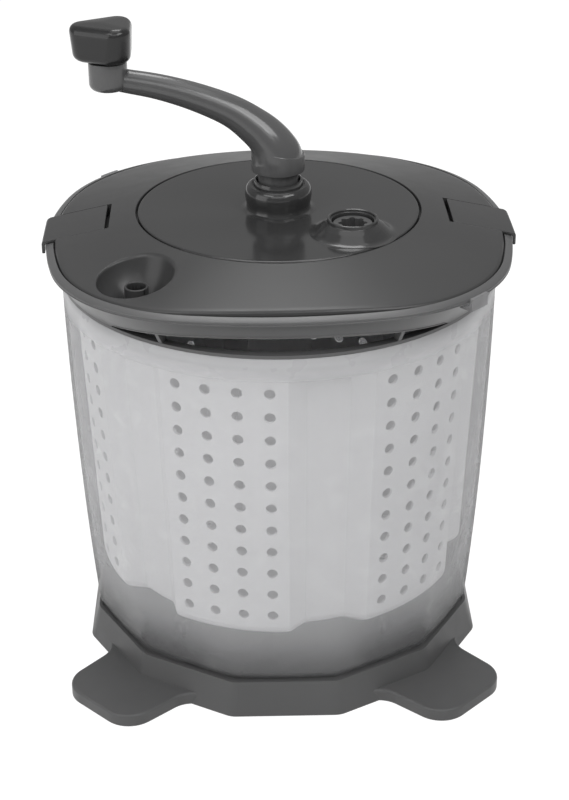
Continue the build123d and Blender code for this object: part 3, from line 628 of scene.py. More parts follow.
# %% [markdown]
# The lid is a cone on this outline, so its rings are made of three kinds: the outline itself, moved
# in or out, circles round the axis with a point on each of the outline's bearings, and rings that
# lie between the two. The same count of points in all of them keeps the quads in line.

# %% Rings on the outline


def cone(x, y, drop=0.0):
    """Height of the lid's shallow cone, or of a surface a little below it."""
    return LID_TOP - LID_SLOPE * (hypot(x, y) - COVER_R) - drop


def rim_ring(out, height):
    """The outline moved outwards; height is a number, or a function of x and y."""
    ring = []
    for x, y, nx, ny in OUTLINE:
        px, py = x + nx * out, y + ny * out
        ring.append((px, py, height(px, py) if callable(height) else height))
    return ring


def disc_ring(radius, height):
    """A circle with one point at the bearing of each outline point."""
    ring = []
    for x, y, nx, ny in OUTLINE:
        px, py = x / hypot(x, y) * radius, y / hypot(x, y) * radius
        ring.append((px, py, height(px, py) if callable(height) else height))
    return ring


def between(first, second, share, height=None):
    ring = []
    for a, b in zip(first, second):
        x, y, z = [p + (q - p) * share for p, q in zip(a, b)]
        ring.append((x, y, height(x, y) if height else z))
    return ring


print("cone falls to", round(cone(LID_SIDE, 0), 1), "mm at the side")

# %% [markdown]
# ## The lid
#
# The lid is one moulding: a shallow cone that falls to a softly rounded rim, a round pan in its
# middle for the gears, two shallow beds for the straps and a funnel for water. Its rings run in a
# round trip: up the wall of the pan, over the cone, round the rim, and back underneath.

# %% Rings of the lid
LID_WALL, LID_EDGE_Z = 3.0, 329.3
PAN_FLOOR_Z, PAN_FLOOR_T, PAN_WALL = 324.0, 3.0, 2.5
RIM_ROUND = 3.0
SHAFT_HOLE_R, PAN_R = 12.0, COVER_R + COVER_GAP
# the ledge under the cover's edge, the groove round the cover, and the groove's rounded edge
LEDGE_IN, LEDGE_Z, LEDGE_LOW_Z = 4.0, LID_TOP - 3, LID_TOP - 6
GROOVE_IN, GROOVE_FOOT_IN, GROOVE_OUT, GROOVE_LOW_Z = 1.8, 1.6, 0.2, LID_TOP - 5.2
GROOVE_ROUND, GROOVE_SINK = 0.6, 0.25


def pan_profile():
    """From the shaft's hole over the pan's floor, up to its ledge and down into the groove."""
    floor = PAN_FLOOR_Z + PAN_FLOOR_T
    return [(SHAFT_HOLE_R, PAN_FLOOR_Z), (SHAFT_HOLE_R, floor), (PAN_R, floor), (PAN_R, LEDGE_LOW_Z),
            (PAN_R - LEDGE_IN, LEDGE_LOW_Z), (PAN_R - LEDGE_IN, LEDGE_Z), (PAN_R - GROOVE_IN, LEDGE_Z),
            (PAN_R - GROOVE_FOOT_IN, GROOVE_LOW_Z), (PAN_R + GROOVE_OUT, GROOVE_LOW_Z)]


def lid_rings():
    rings = [disc_ring(r, z) for r, z in pan_profile()]
    for turn in (0, 30, 60, 90):
        t = radians(turn)
        rings.append(disc_ring(PAN_R + GROOVE_OUT + GROOVE_ROUND * (1 - cos(t)),
                               LID_TOP - GROOVE_SINK - GROOVE_ROUND * (1 - sin(t))))
    tilt = atan2(LID_SLOPE, 1)
    start = -RIM_ROUND * (1 - sin(tilt))
    inner, outer = disc_ring(PAN_R + 0.9, cone), rim_ring(start, cone)
    rings += [between(inner, outer, k / 16, cone) for k in range(17)]
    for k in range(1, 7):
        t = tilt + (pi / 2 - tilt) * k / 6
        out = start + RIM_ROUND * (sin(t) - sin(tilt))
        ring = []
        for (x, y, nx, ny), (a, b, z) in zip(OUTLINE, outer):
            ring.append((x + nx * out, y + ny * out, z - RIM_ROUND * (cos(tilt) - cos(t))))
        rings.append(ring)
    rings += [rim_ring(out, LID_EDGE_Z + up) for out, up in ((0, 0.5), (-0.5, 0), (-LID_WALL, 0))]
    low_outer = rim_ring(-LID_WALL, lambda x, y: cone(x, y, LID_WALL))
    low_inner = disc_ring(PAN_R + PAN_WALL, lambda x, y: cone(x, y, LID_WALL))
    rings += [between(low_outer, low_inner, k / 6) for k in range(7)]
    rings.append(disc_ring(PAN_R + PAN_WALL, PAN_FLOOR_Z))
    return rings


lid = make_mesh("lid", *skin(lid_rings()))
print("lid", len(lid.data.vertices), "points")

# %% [markdown]
# ### Beds for the straps
#
# Each strap lies flush in the cone, in a bed as deep as the strap is thick. At the inner end of the
# bed a slot stays open, where the strap hinges on its pin. Under the bed the lid is thicker.

# %% Beds and slots
STRAP_WIDTH, STRAP_THICK, STRAP_Y = 48.0, 2.2, 2.0
SLOT_INNER_X, STRAP_PIN_X, STRAP_PIN_Z = 124.6, 131.3, 339.6
BED_MARGIN, BED_WALL, BED_GAP = 3, 3, 0.4
OPEN_Z = 365


def strap_grid(name, side, xs, half, low, high):
    """Block over a strap's place, half as wide as given; low and high are functions of x and y."""
    ys = [STRAP_Y - half + 2 * half * k / 16 for k in range(17)]
    rows = [[(side * x, y, low(x, y), high(x, y)) for y in ys] for x in xs]
    return grid_block(name, rows)


def strap_bed(side):
    """Thicker plastic under a strap, and the well round its pin."""
    xs = [SLOT_INNER_X - BED_MARGIN + k * 5.0 for k in range(9)]
    half = STRAP_WIDTH / 2 + BED_MARGIN
    bed = strap_grid("bed", side, xs, half,
                     lambda x, y: cone(x, y, STRAP_THICK + BED_WALL), lambda x, y: cone(x, y, 1))
    well = strap_grid("well", side, (SLOT_INNER_X - BED_MARGIN, STRAP_PIN_X + 7), half,
                      lambda x, y: STRAP_PIN_Z - 7, lambda x, y: cone(x, y, 1))
    return [bed, well]


def strap_pocket(side):
    """Room for a strap and, at its inner end, for its hinge."""
    half = STRAP_WIDTH / 2 + BED_GAP
    xs = [SLOT_INNER_X + k * 5.0 for k in range(13)]
    pocket = strap_grid("pocket", side, xs, half,
                        lambda x, y: cone(x, y, STRAP_THICK + BED_GAP), lambda x, y: OPEN_Z)
    slot = strap_grid("slot", side, (SLOT_INNER_X, STRAP_PIN_X + 4.2), half,
                      lambda x, y: STRAP_PIN_Z - 4.6, lambda x, y: 350)
    return [pocket, slot]


print("straps", STRAP_WIDTH, "mm wide, pins", 2 * STRAP_PIN_X, "mm apart")

# %% [markdown]
# ### The water funnel
#
# Water goes in through a funnel near the front, round a short hose nipple. The funnel's mouth isn't
# a crisp hole: the plastic rolls into it. The cone tilts here, so the roll is worked out on each
# bearing round the funnel, from the cone's height there. It is soft at the back and crisp at the
# front, as in the photograph. The bowl is cut as one solid, and the nipple added afterwards.

# %% The funnel
FUNNEL_X = FUNNEL_Y = -144.0 * cos(pi / 4)
MOUTH_R, BOWL_LOW_R, BOWL_LOW_Z, BOWL_WALL = 27.5, 13.0, 318.0, 2.5
ROLL_R, ROLL_SPREAD, ROLL_START = 2.0, 1.3, 10


def funnel_ring(radius, height, steps=96):
    """Ring round the funnel's axis; both may be functions of x and y on the mouth's edge."""
    ring = []
    for k in range(steps):
        t = 2 * pi * k / steps
        x, y = FUNNEL_X + MOUTH_R * cos(t), FUNNEL_Y + MOUTH_R * sin(t)
        r = radius(x, y) if callable(radius) else radius
        z = height(x, y) if callable(height) else height
        ring.append((FUNNEL_X + r * cos(t), FUNNEL_Y + r * sin(t), z))
    return ring


def funnel_bowl():
    """Outer wall of the bowl, up into the lid's wall."""
    rings = [funnel_ring(r, BOWL_LOW_Z - BOWL_WALL) for r in (0, 15)]
    rings += [funnel_ring(30, lambda x, y: cone(x, y, drop)) for drop in (5.5, 2.0)]
    rings.append(funnel_ring(0, 337))
    return make_mesh("bowl", *skin(rings, round_trip=False))


def mouth_roll(x, y):
    """Radius of the rolled edge: soft at the back, crisp at the front."""
    return ROLL_R + ROLL_SPREAD * (0.3 * (x - FUNNEL_X) + 0.95 * (y - FUNNEL_Y)) / MOUTH_R


def slant(x, y, radius):
    """How far the cone falls between the mouth's edge and a wider ring on the same bearing."""
    share = radius / MOUTH_R
    wide_x, wide_y = FUNNEL_X + (x - FUNNEL_X) * share, FUNNEL_Y + (y - FUNNEL_Y) * share
    return cone(x, y) - cone(wide_x, wide_y)


def roll_ring(turn):
    """One ring of the rolled edge, from the bowl's wall up to the cone."""
    def radius(x, y):
        return MOUTH_R + ROLL_SPREAD - mouth_roll(x, y) * cos(turn)

    def height(x, y):
        return cone(x, y, mouth_roll(x, y) * (1 - sin(turn)) - 0.03) - slant(x, y, radius(x, y))

    return funnel_ring(radius, height)


def bowl_space():
    """Hollow of the funnel, rolled out into the cone."""
    start = roll_ring(radians(ROLL_START))
    floor = funnel_ring(BOWL_LOW_R, BOWL_LOW_Z)
    rings = [funnel_ring(0, BOWL_LOW_Z), funnel_ring(BOWL_LOW_R - 2, BOWL_LOW_Z), floor]
    for share in (0.15, 0.4, 0.7):
        out = 1 - (1 - share) ** 1.5
        rings.append([(a[0] + (b[0] - a[0]) * out, a[1] + (b[1] - a[1]) * out, a[2] + (b[2] - a[2]) * share)
                      for a, b in zip(floor, start)])
    rings += [roll_ring(radians(ROLL_START + (90 - ROLL_START) * k / 9)) for k in range(10)]
    rings += [funnel_ring(MOUTH_R + 1.6, OPEN_Z + 1), funnel_ring(0, OPEN_Z + 1)]
    return make_mesh("bowl_space", *skin(rings, round_trip=False))


print("funnel at", round(FUNNEL_X, 1), round(FUNNEL_Y, 1))

# %% Nipple, holes and the finished lid
NIPPLE_R, NIPPLE_BORE_R, NIPPLE_TOP = 8.5, 6.8, 332.5
SCREW_CIRCLE, SCREW_TURNS = 94, (0, 60, 120, 180, 240, 285)
PINION_REACH = 73
PINION_X, PINION_Y = PINION_REACH * cos(pi / 4), -PINION_REACH * sin(pi / 4)


def nipple():
    """Short tube on the bowl's floor, with a rounded end for the hose."""
    line = [(NIPPLE_BORE_R, BOWL_LOW_Z - 1), (NIPPLE_BORE_R, NIPPLE_TOP), (NIPPLE_R, NIPPLE_TOP),
            (NIPPLE_R, BOWL_LOW_Z - 1)]
    return make_mesh("nipple", *skin(lathe(rounded(line, (0, 0.5, 0.7, 0), 4), (FUNNEL_X, FUNNEL_Y), 64)))


def nipple_bore():
    line = [(0, 312), (NIPPLE_BORE_R, 312), (NIPPLE_BORE_R, BOWL_LOW_Z + 1), (0, BOWL_LOW_Z + 1)]
    return make_mesh("bore", *skin(lathe(line, (FUNNEL_X, FUNNEL_Y), 64), round_trip=False))


def screw_holes():
    """Holes in the pan's floor for the cover's screws and the small gear's pin."""
    turns = [radians(a) for a in SCREW_TURNS]
    places = [(SCREW_CIRCLE * cos(t), SCREW_CIRCLE * sin(t), 1.6) for t in turns]
    places.append((PINION_X, PINION_Y, 3.0))
    holes = []
    for x, y, r in places:
        rings = lathe([(0, 322), (r, 322), (r, 328), (0, 328)], (x, y), 24)
        holes.append(make_mesh("hole", *skin(rings, round_trip=False)))
    return holes


carve(lid, strap_bed(-1) + strap_bed(1) + [funnel_bowl()], "UNION")
carve(lid, strap_pocket(-1) + strap_pocket(1) + [bowl_space()] + screw_holes())
carve(lid, [nipple()], "UNION")
carve(lid, [nipple_bore()])
settle(lid, LID, "lid", "lid_plastic", "lid_shell")

# %% [markdown]
# ## The gear cover
#
# A flush disc closes the gear pan. Two domes rise from it, the tall boss under the crank and the
# low one round the offset socket, and both flare out of the disc without an edge. Each dome is a
# lathe whose lowest ring lies in the disc, and the disc's flat face is filled between those rings
# and its own rounded edge. The rings are marked sharp, so that the flat face stays perfectly flat
# in the shading, which a glossy surface shows at once.

# %% Disc, boss and socket
COVER_T, COVER_SHARP = 3, 38
BOSS_PROFILE = (
    # radius, height over the disc: the flare, the barrel, its rounded shoulder and the inner ring
    (28.0, 0), (25.6, 0.15), (24.2, 0.9), (23.6, 2.6), (23.7, 5), (24.3, 8), (24.7, 11), (24.6, 13.6),
    (24.1, 15.6), (23.2, 17.3), (21.9, 18.6), (20.6, 19.2), (19.6, 19.1), (18.9, 18.4), (18.5, 18.5),
    (18.3, 19.6), (18.2, 21.2), (17.9, 22.2), (17.2, 22.6), (16.4, 22.3), (16.0, 21.4), (15.9, 20),
    (15.9, -COVER_T))
SOCKET_PROFILE = (
    # radius, height over the disc, radius of the corner: the flare, then the collar of the socket
    (33.0, 0, 0), (30.5, 0.1, 7), (27.6, 1.3, 9), (22.5, 5.8, 14), (19.2, 8.0, 2.5), (18.4, 8.3, 0.7),
    (18.3, 10.7, 0.5), (17.4, 11.1, 0.5), (16.5, 10.7, 0.4), (16.3, 9.2, 0.3), (15.2, 9.2, 0.3),
    (15.2, -COVER_T, 0))


def cover_profiles():
    """The boss, the socket and the disc's own edge, each from the flat face round and down."""
    boss = [(r, LID_TOP + h) for r, h in BOSS_PROFILE]
    socket = rounded([(r, LID_TOP + h) for r, h, corner in SOCKET_PROFILE],
                     [corner for r, h, corner in SOCKET_PROFILE], 6)
    rim, low = COVER_R - 0.3, LID_TOP - COVER_T
    edge = rounded([(rim - 3, LID_TOP), (rim, LID_TOP), (rim, low), (rim - 3, low)], (0, 1.3, 0.3, 0), 6)
    return (boss, (0, 0), 128), (socket, (PINION_X, PINION_Y), 128), (edge, (0, 0), 256)


def ring_edges(work, verts):
    pairs = zip(verts, verts[1:] + verts[:1])
    return [work.edges.get(pair) for pair in pairs]


def cover_mesh():
    work = bmesh.new()
    flat_loops, low_loops = [], []
    for profile, centre, steps in cover_profiles():
        points, faces = skin(lathe(profile, centre, steps), round_trip=False)
        verts = [work.verts.new(Vector(p) * MM) for p in points]
        for face in faces:
            work.faces.new([verts[k] for k in face])
        flat_loops += ring_edges(work, verts[:steps])
        low_loops += ring_edges(work, verts[-steps:])
    for loops in (flat_loops, low_loops):
        bmesh.ops.triangle_fill(work, use_beauty=True, use_dissolve=False, edges=loops)
    bmesh.ops.recalc_face_normals(work, faces=work.faces)
    work.verts.index_update()
    marks = {frozenset(vert.index for vert in edge.verts) for edge in flat_loops}
    mesh = bpy.data.meshes.new("cover")
    work.to_mesh(mesh)
    work.free()
    mesh.shade_smooth()
    mesh.set_sharp_from_angle(angle=radians(COVER_SHARP))
    for edge in mesh.edges:
        if frozenset(edge.vertices) in marks:
            edge.use_edge_sharp = True
    piece = bpy.data.objects.new("cover", mesh)
    bpy.context.scene.collection.objects.link(piece)
    return piece


settle(cover_mesh(), COVER, "lid", "cover_plastic", "gear_cover")

# %% [markdown]
# ### Ribs at the boss
#
# Two small rounded ribs lean against the back of the boss. They could be joined to the cover with a
# boolean, but such a boolean lost the whole cover. A rib that sinks a little into the disc and
# into the boss looks the same and stays a plain mesh of its own.

# %% Ribs
RIB_START, RIB_LENGTH, RIB_HEIGHT, RIB_HALF = 21.0, 11.0, 4.6, 2.2


def boss_rib(name, turn):
    """Rib on one bearing: highest at the boss, and rounded across."""
    rows = []
    for k in range(9):
        away = RIB_START + RIB_LENGTH * k / 8
        rise = RIB_HEIGHT * (1 - (k / 8) ** 1.6)
        row = []
        for s in range(9):
            side = RIB_HALF * (s / 4 - 1)
            high = LID_TOP - 1 + (rise + 1) * (1 - (abs(side) / RIB_HALF) ** 4 * 0.9)
            x, y = away * cos(turn) - side * sin(turn), away * sin(turn) + side * cos(turn)
            row.append((x, y, LID_TOP - 1.5, high))
        rows.append(row)
    return grid_block(name, rows)


for name, turn in (("boss_rib_right", 42), ("boss_rib_left", 138)):
    settle(boss_rib(name, radians(turn)), COVER, "lid", "cover_plastic")

# %% [markdown]
# ## The rim collar
#
# The collar is the grey ring round the lid: a sloping flange with a bead along its lower edge, and
# below it a skirt that draws in to the round mouth of the tub. At the front the skirt is cut up in
# a long crescent, the pour-out slot. Each point of the outline gets its own profile, so the crescent
# needs no cutting: the foot of the skirt simply rises there.

# %% Profiles of the collar
FLANGE_OUT, FLANGE_GAP = 6.5, 0.8
FLANGE_TOP_Z, FLANGE_SIDE_Z, FLANGE_LOW_Z = 334.3, 332.0, 329.0
TUB_TOP_R, SILL_TOP_Z, BORE_R = 162.3, 305.5, 155.1
SLOT_TURN, SLOT_HALF = radians(-1.4), radians(45.7)
SLOT_TOP_Z, SLOT_END_Z = 318.4, 306.9
SKIRT_IN, SKIRT_WALL, FLANGE_T = 2.5, 2.6, 2.2
LIP_BEAD = 0.55


def lip_height(x, y):
    """Height of the skirt's foot at one place, and how far the foot stands free of the sill there."""
    away = atan2(x, -y) - SLOT_TURN
    if abs(away) >= SLOT_HALF:
        return SILL_TOP_Z, 0.0
    front = -TUB_TOP_R
    end = front * cos(SLOT_HALF)
    reach = hypot(x, y) * cos(away)
    z = SLOT_END_Z + (SLOT_TOP_Z - SLOT_END_Z) * (end + reach) / (end - front)
    return z, min(1.0, (SLOT_HALF - abs(away)) / radians(2))


def collar_profile(x, y, nx, ny):
    """Closed profile over one outline point, from the flange's inner edge outwards and down."""
    head = Vector((x + nx * SKIRT_IN, y + ny * SKIRT_IN, FLANGE_LOW_Z))
    foot = Vector((x, y, 0)).normalized() * TUB_TOP_R
    foot.z = SILL_TOP_Z
    inward = Vector((-nx, -ny, 0))

    def skirt(z, inset=0.0):
        share = (z - SILL_TOP_Z) / (FLANGE_LOW_Z - SILL_TOP_Z)
        return tuple(foot.lerp(head, share) + inward * inset)

    low = SILL_TOP_Z + 6
    for attempt in range(2):
        low, free = lip_height(*skirt(low)[:2])
    line = [(FLANGE_GAP, FLANGE_LOW_Z), (FLANGE_GAP, FLANGE_TOP_Z), (FLANGE_OUT, FLANGE_SIDE_Z),
            (FLANGE_OUT, 330.6), (FLANGE_OUT - 0.5, 330.3), (FLANGE_OUT, 329.9), (FLANGE_OUT, FLANGE_LOW_Z),
            (FLANGE_OUT - 1.2, FLANGE_LOW_Z)]
    line = rounded(line, (0, 0.5, 0.9, 0.3, 0.2, 0.3, 0.5, 0), 3)
    points = [(x + nx * out, y + ny * out, z) for out, z in line]
    points += [skirt(FLANGE_LOW_Z), skirt(FLANGE_LOW_Z - 1.0)]
    points += [skirt(FLANGE_LOW_Z + (low + 2.0 - FLANGE_LOW_Z) * k / 6) for k in range(1, 7)]
    bead = LIP_BEAD * free
    points += [skirt(low + up, -bead * out) for up, out in ((1.5, 0.15), (1.1, 1), (0.5, 1), (0, 0.4))]
    points += [skirt(low, SKIRT_WALL - 0.4), skirt(low + 0.5, SKIRT_WALL)]
    points.append(skirt(FLANGE_LOW_Z - FLANGE_T, SKIRT_WALL))
    inner = Vector((x - nx * 8, y - ny * 8, 0))
    if inner.length < BORE_R:
        inner = inner.normalized() * BORE_R
    points += [(inner.x, inner.y, FLANGE_LOW_Z - FLANGE_T), (inner.x, inner.y, FLANGE_LOW_Z)]
    return points


def under_strap(point):
    """The flange gives way under the straps, which cross it flush."""
    x, y, z = point
    if abs(y - STRAP_Y) < STRAP_WIDTH / 2 + 0.8 and z > FLANGE_LOW_Z + 0.1:
        return x, y, min(z, cone(x, y, STRAP_THICK + 0.35))
    return point


def collar_rings():
    """One profile for each outline point, turned into rings."""
    profiles = [[under_strap(p) for p in collar_profile(*sample)] for sample in OUTLINE]
    return [list(ring) for ring in zip(*profiles)]


collar = make_mesh("collar", *skin(collar_rings()), sharp=40)
settle(collar, COLLAR, "root", "collar_plastic", "rim_collar")

# %% [markdown]
# ## The tub
#
# The tub is round at its mouth and turns into a soft twelve-sided prism towards its foot. Its wall
# is thin and milky, so the basket shows through. A twelve-sided cylinder with a bevel would keep the
# same ridges all the way up. Here each ring has twelve equal arcs, and the arcs flatten as the rings
# go down, which draws the twelve faint ridges of the real moulding and lets them fade at the mouth.

# %% Tub rings
TUB_TAPER, TUB_BULGE, TUB_WALL = 3.6, 12.3, 2.5
TUB_TOP_Z, TUB_EDGE_Z, TUB_FLOOR_Z = 303.0, 35.0, 25.0
BASE_TURN = radians(-0.75)
FOOT_ROUND, RIDGE = 7.0, 0.026
FLOOR_TOP_Z, PIVOT_TOP_Z, PIVOT_R, PIN_HOLE_R = 27.5, 42, 20, 6
BOSS_CIRCLE, BOSS_LINE = 110, ((2, 26), (7, 26), (7, 40), (2, 40))
OUTSIDE = (25.0, 25.6, 27, 29, 32, 35, 45, 60, 80, 100, 120, 140, 160, 180, 200, 220, 240, 260, 280, 292,
           302.4)


def tub_ring(z, inset, pieces=12):
    """Twelve arcs at one height; inset steps in through the wall."""
    fall = (TUB_TOP_Z - z) / (TUB_TOP_Z - TUB_EDGE_Z)
    low = (TUB_TOP_Z - max(z, TUB_EDGE_Z)) / (TUB_TOP_Z - TUB_EDGE_Z)
    flat = TUB_TOP_R - TUB_TAPER * low - TUB_BULGE * low ** 2 - inset
    flat -= FOOT_ROUND * (max(TUB_EDGE_Z - z, 0) / (TUB_EDGE_Z - TUB_FLOOR_Z)) ** 2
    corner = flat * (1 + RIDGE * min(fall, 1))
    sag = flat - corner * cos(radians(15))
    half = corner * sin(radians(15))
    radius = (half ** 2 + sag ** 2) / (2 * sag)
    spread = atan2(half, radius - sag)
    ring = []
    for k in range(12):
        middle = radians(30 * k) + BASE_TURN
        cx, cy = (flat - radius) * cos(middle), (flat - radius) * sin(middle)
        for s in range(pieces):
            turn = middle - spread + 2 * spread * s / pieces
            ring.append((cx + radius * cos(turn), cy + radius * sin(turn), z))
    return ring


def round_ring(radius, z):
    """A circle whose points follow those of a tub ring."""
    turns = [2 * pi * (k - 6) / 144 + BASE_TURN for k in range(144)]
    return [(radius * cos(t), radius * sin(t), z) for t in turns]


def tub_rings():
    """Out along the underside, up the outside, over the mouth, down the inside and to the pivot."""
    rings = [round_ring(r, TUB_FLOOR_Z) for r in (PIN_HOLE_R, 60, 120)]
    rings += [tub_ring(z, 0) for z in OUTSIDE]
    rings += [tub_ring(TUB_TOP_Z, 0.6), tub_ring(TUB_TOP_Z, TUB_WALL - 0.6)]
    rings += [tub_ring(z, TUB_WALL) for z in OUTSIDE[:3:-1]]
    rings += [tub_ring(FLOOR_TOP_Z + 2, TUB_WALL + 1), tub_ring(FLOOR_TOP_Z, TUB_WALL + 4)]
    rings += [round_ring(60, FLOOR_TOP_Z), round_ring(PIVOT_R, FLOOR_TOP_Z)]
    rings += [round_ring(PIVOT_R, PIVOT_TOP_Z), round_ring(PIN_HOLE_R, PIVOT_TOP_Z)]
    return rings


def screw_bosses():
    """Four hollow posts on the tub's floor, for the screws that come up through the tray."""
    bosses = []
    for k in range(4):
        turn = radians(45 + 90 * k) + BASE_TURN
        rings = lathe(BOSS_LINE, (BOSS_CIRCLE * cos(turn), BOSS_CIRCLE * sin(turn)), 32)
        bosses.append(make_mesh("tub_boss", *skin(rings)))
    return bosses


tub = make_mesh("tub", *skin(tub_rings()), sharp=50)
carve(tub, screw_bosses(), "UNION", sharp=50)
settle(tub, TUB, "root", "tub_plastic", "outer_tub")

# %% [markdown]
# ## The crank
#
# The crank is one moulding: an upright hub over the boss, an arm that leans out of it and an upright
# post under the knob. The arm is a round bar whose thickness falls along the way. Its centre line
# is a smooth curve through a few measured places, and each ring stands square to that curve, so its
# upper and lower edges run as clean lines, and the long highlight stays unbroken.

# %% The arm
ARM_PLACES = [
    # reach from the axis, height, half thickness, half width
    (-1, 372, 20, 19.6), (0.2, 384, 19.4, 19.6), (1.8, 392.5, 18.2, 19.5), (7.2, 402.8, 15.2, 17.8),
    (17.0, 412.4, 13.5, 14.8), (33.6, 424.1, 11.6, 12.0), (59.0, 435.0, 10.2, 10.3),
    (84.4, 442.8, 9.2, 9.2),
    (106.0, 447.2, 8.6, 8.6), (116.0, 449.2, 8.4, 8.4), (126, 451.2, 8.2, 8.2)]


def smooth_line(places, steps):
    """Points of a Catmull-Rom curve through all places but the first and the last."""
    line = []
    for a, b, c, d in zip(places, places[1:], places[2:], places[3:]):
        for k in range(steps):
            t = k / steps
            line.append([0.5 * (2 * q + (r - p) * t + (2 * p - 5 * q + 4 * r - s) * t ** 2 +
                                (3 * q - p - 3 * r + s) * t ** 3) for p, q, r, s in zip(a, b, c, d)])
    return line + [list(places[-2])]


def arm_rings(steps=64):
    """Ellipses square to the curve; the arm lies over the negative X axis."""
    line = smooth_line(ARM_PLACES, 6)
    rings = []
    for k, (reach, height, thick, wide) in enumerate(line):
        before, after = line[max(k - 1, 0)], line[min(k + 1, len(line) - 1)]
        along = Vector((-(after[0] - before[0]), 0, after[1] - before[1])).normalized()
        across, over = Vector((0, 1, 0)), along.cross(Vector((0, 1, 0)))
        middle = Vector((-reach, 0, height))
        turns = [2 * pi * s / steps for s in range(steps)]
        rings.append([tuple(middle + across * wide * cos(t) + over * thick * sin(t)) for t in turns])
    return rings


def closed(name, rings, sharp=32):
    """Mesh from a row of rings with both ends filled."""
    points, faces = skin(rings, round_trip=False)
    count = len(rings[0])
    ends = [tuple(range(count)), tuple(range(len(points) - count, len(points)))]
    return make_mesh(name, points, faces + ends, sharp)


arm = closed("crank_arm_shape", arm_rings())
print("arm", len(arm.data.polygons), "faces")

# %% [markdown]
# ### Hub and post
#
# The hub's top isn't level: it rises towards the arm, where the bar grows out of it. The post is a
# plain round post with a soft foot. Both are joined to the bar with a boolean, and a second one
# cuts the places of the neck, its screw and the knob's axle.

# %% Hub, post and the finished crank
CRANK_HUB_R, CRANK_HUB_Z, NECK_R = 19.6, 379.2, 15.0
HUB_TOP_Z, HUB_RISE, HUB_CROWN_Z = 395.0, 4.0, 396.0
CRANK_R, POST_R, POST_LOW_Z, POST_TOP_Z = 120.6, 13.9, 441.8, 462.6


def crank_hub():
    """Upright hub; its top slopes up towards the arm."""
    line = rounded([(0.5, CRANK_HUB_Z), (CRANK_HUB_R, CRANK_HUB_Z), (CRANK_HUB_R, 384)], (0, 0.7, 0), 4)
    rings = lathe(line)
    for share, drop in ((1, 0.5), (0.99, 0.15), (0.97, 0)):
        radius = CRANK_HUB_R * share
        turns = [2 * pi * k / 96 for k in range(96)]
        rings.append([(radius * cos(t), radius * sin(t), HUB_TOP_Z - HUB_RISE * cos(t) - drop)
                      for t in turns])
    rings.append([(x * 0.1, y * 0.1, HUB_CROWN_Z) for x, y, z in rings[-1]])
    return closed("hub", rings)


def crank_post():
    """Upright post under the knob, with a rounded foot."""
    line = [(0.5, POST_LOW_Z), (POST_R, POST_LOW_Z), (POST_R, POST_TOP_Z), (0.5, POST_TOP_Z)]
    return closed("post", lathe(rounded(line, (0, 5, 0.6, 0), 7), (-CRANK_R, 0)))


def plug(radius, low, top, x=0):
    """Round cutter over the X axis."""
    return closed("plug", lathe([(radius, low), (radius, top)], (x, 0), 48))


CRANK_SHARP, SPIGOT_SCREW_R, AXLE_R = 28, 2, 3
carve(arm, [crank_hub(), crank_post()], "UNION", CRANK_SHARP)
carve(arm, [plug(NECK_R, CRANK_HUB_Z - 3, CRANK_HUB_Z + 6), plug(SPIGOT_SCREW_R, CRANK_HUB_Z + 5, 396),
            plug(AXLE_R, POST_LOW_Z + 4, POST_TOP_Z + 3, -CRANK_R)], sharp=CRANK_SHARP)
settle(arm, CRANK, "crank", "crank_plastic", "crank_arm")

# %% [markdown]
# ### The knob
#
# Seen from above, the knob is a triangle with large soft corners, wider at its crown than at its
# foot. Its rings are that triangle at each height, drawn in along a quarter circle at the foot and
# along a softer curve at the crown, which catches the window as one small bright patch.

# %% Rings of the knob
KNOB_LOW_Z, KNOB_TOP_Z = 463.9, 491.0
KNOB_FOOT, KNOB_CROWN = (-23.9, 17.0, 20.2, 13.2), (-26.4, 18.2, 22.4, 11.0)
FOOT_R, CROWN_R, CROWN_RISE = 5.0, 6.0, 0.8


def knob_ring(z, inset, steps=20):
    """The triangle at one height: its tip, its back, half its width and its corners follow z."""
    share = (z - KNOB_LOW_Z) / (KNOB_TOP_Z - KNOB_LOW_Z)
    tip, back, half, corner = [a + (b - a) * share for a, b in zip(KNOB_FOOT, KNOB_CROWN)]
    centres = [(tip + corner, 0), (back - corner, half - corner), (back - corner, corner - half)]
    slope = atan2(centres[1][1], centres[1][0] - centres[0][0])
    order = [(centres[0], (pi / 2 + slope, 3 * pi / 2 - slope)), (centres[2], (-pi / 2 - slope, 0)),
             (centres[1], (0, pi / 2 + slope))]
    radius = corner - inset
    ring = []
    for (x, y), (start, end) in order:
        for k in range(steps + 1):
            t = start + (end - start) * k / steps
            ring.append((-CRANK_R + x + radius * cos(t), y + radius * sin(t), z))
    return ring


def knob_rings():
    """Round the foot, up the sides, round the crown's edge and over its slight dome."""
    side_low, edge_z = KNOB_LOW_Z + FOOT_R, KNOB_TOP_Z - CROWN_RISE
    side = edge_z - CROWN_R - side_low
    foot_turns = [pi / 2 * k / 8 for k in range(9)]
    crown_turns = [pi / 2 * k / 10 for k in range(11)]
    rings = [knob_ring(KNOB_LOW_Z + FOOT_R * (1 - cos(t)), FOOT_R * (1 - sin(t))) for t in foot_turns]
    rings += [knob_ring(side_low + side * k / 6, 0) for k in range(1, 6)]
    rings += [knob_ring(edge_z - CROWN_R * (1 - sin(t)), CROWN_R * (1 - cos(t))) for t in crown_turns]
    middle, last = -CRANK_R - 2, rings[-1]
    for share, rise in ((0.7, 0.45), (0.35, 0.7), (0.04, CROWN_RISE)):
        rings.append([(middle + (x - middle) * share, y * share, edge_z + rise) for x, y, z in last])
    return rings


knob = closed("knob_shape", knob_rings())
carve(knob, [plug(3.06, KNOB_LOW_Z - 2, 483, -CRANK_R), plug(5.8, 482.7, 485.3, -CRANK_R)], sharp=50)
settle(knob, KNOB_PAINTED_SHADE, "knob", "lid_plastic", "knob")

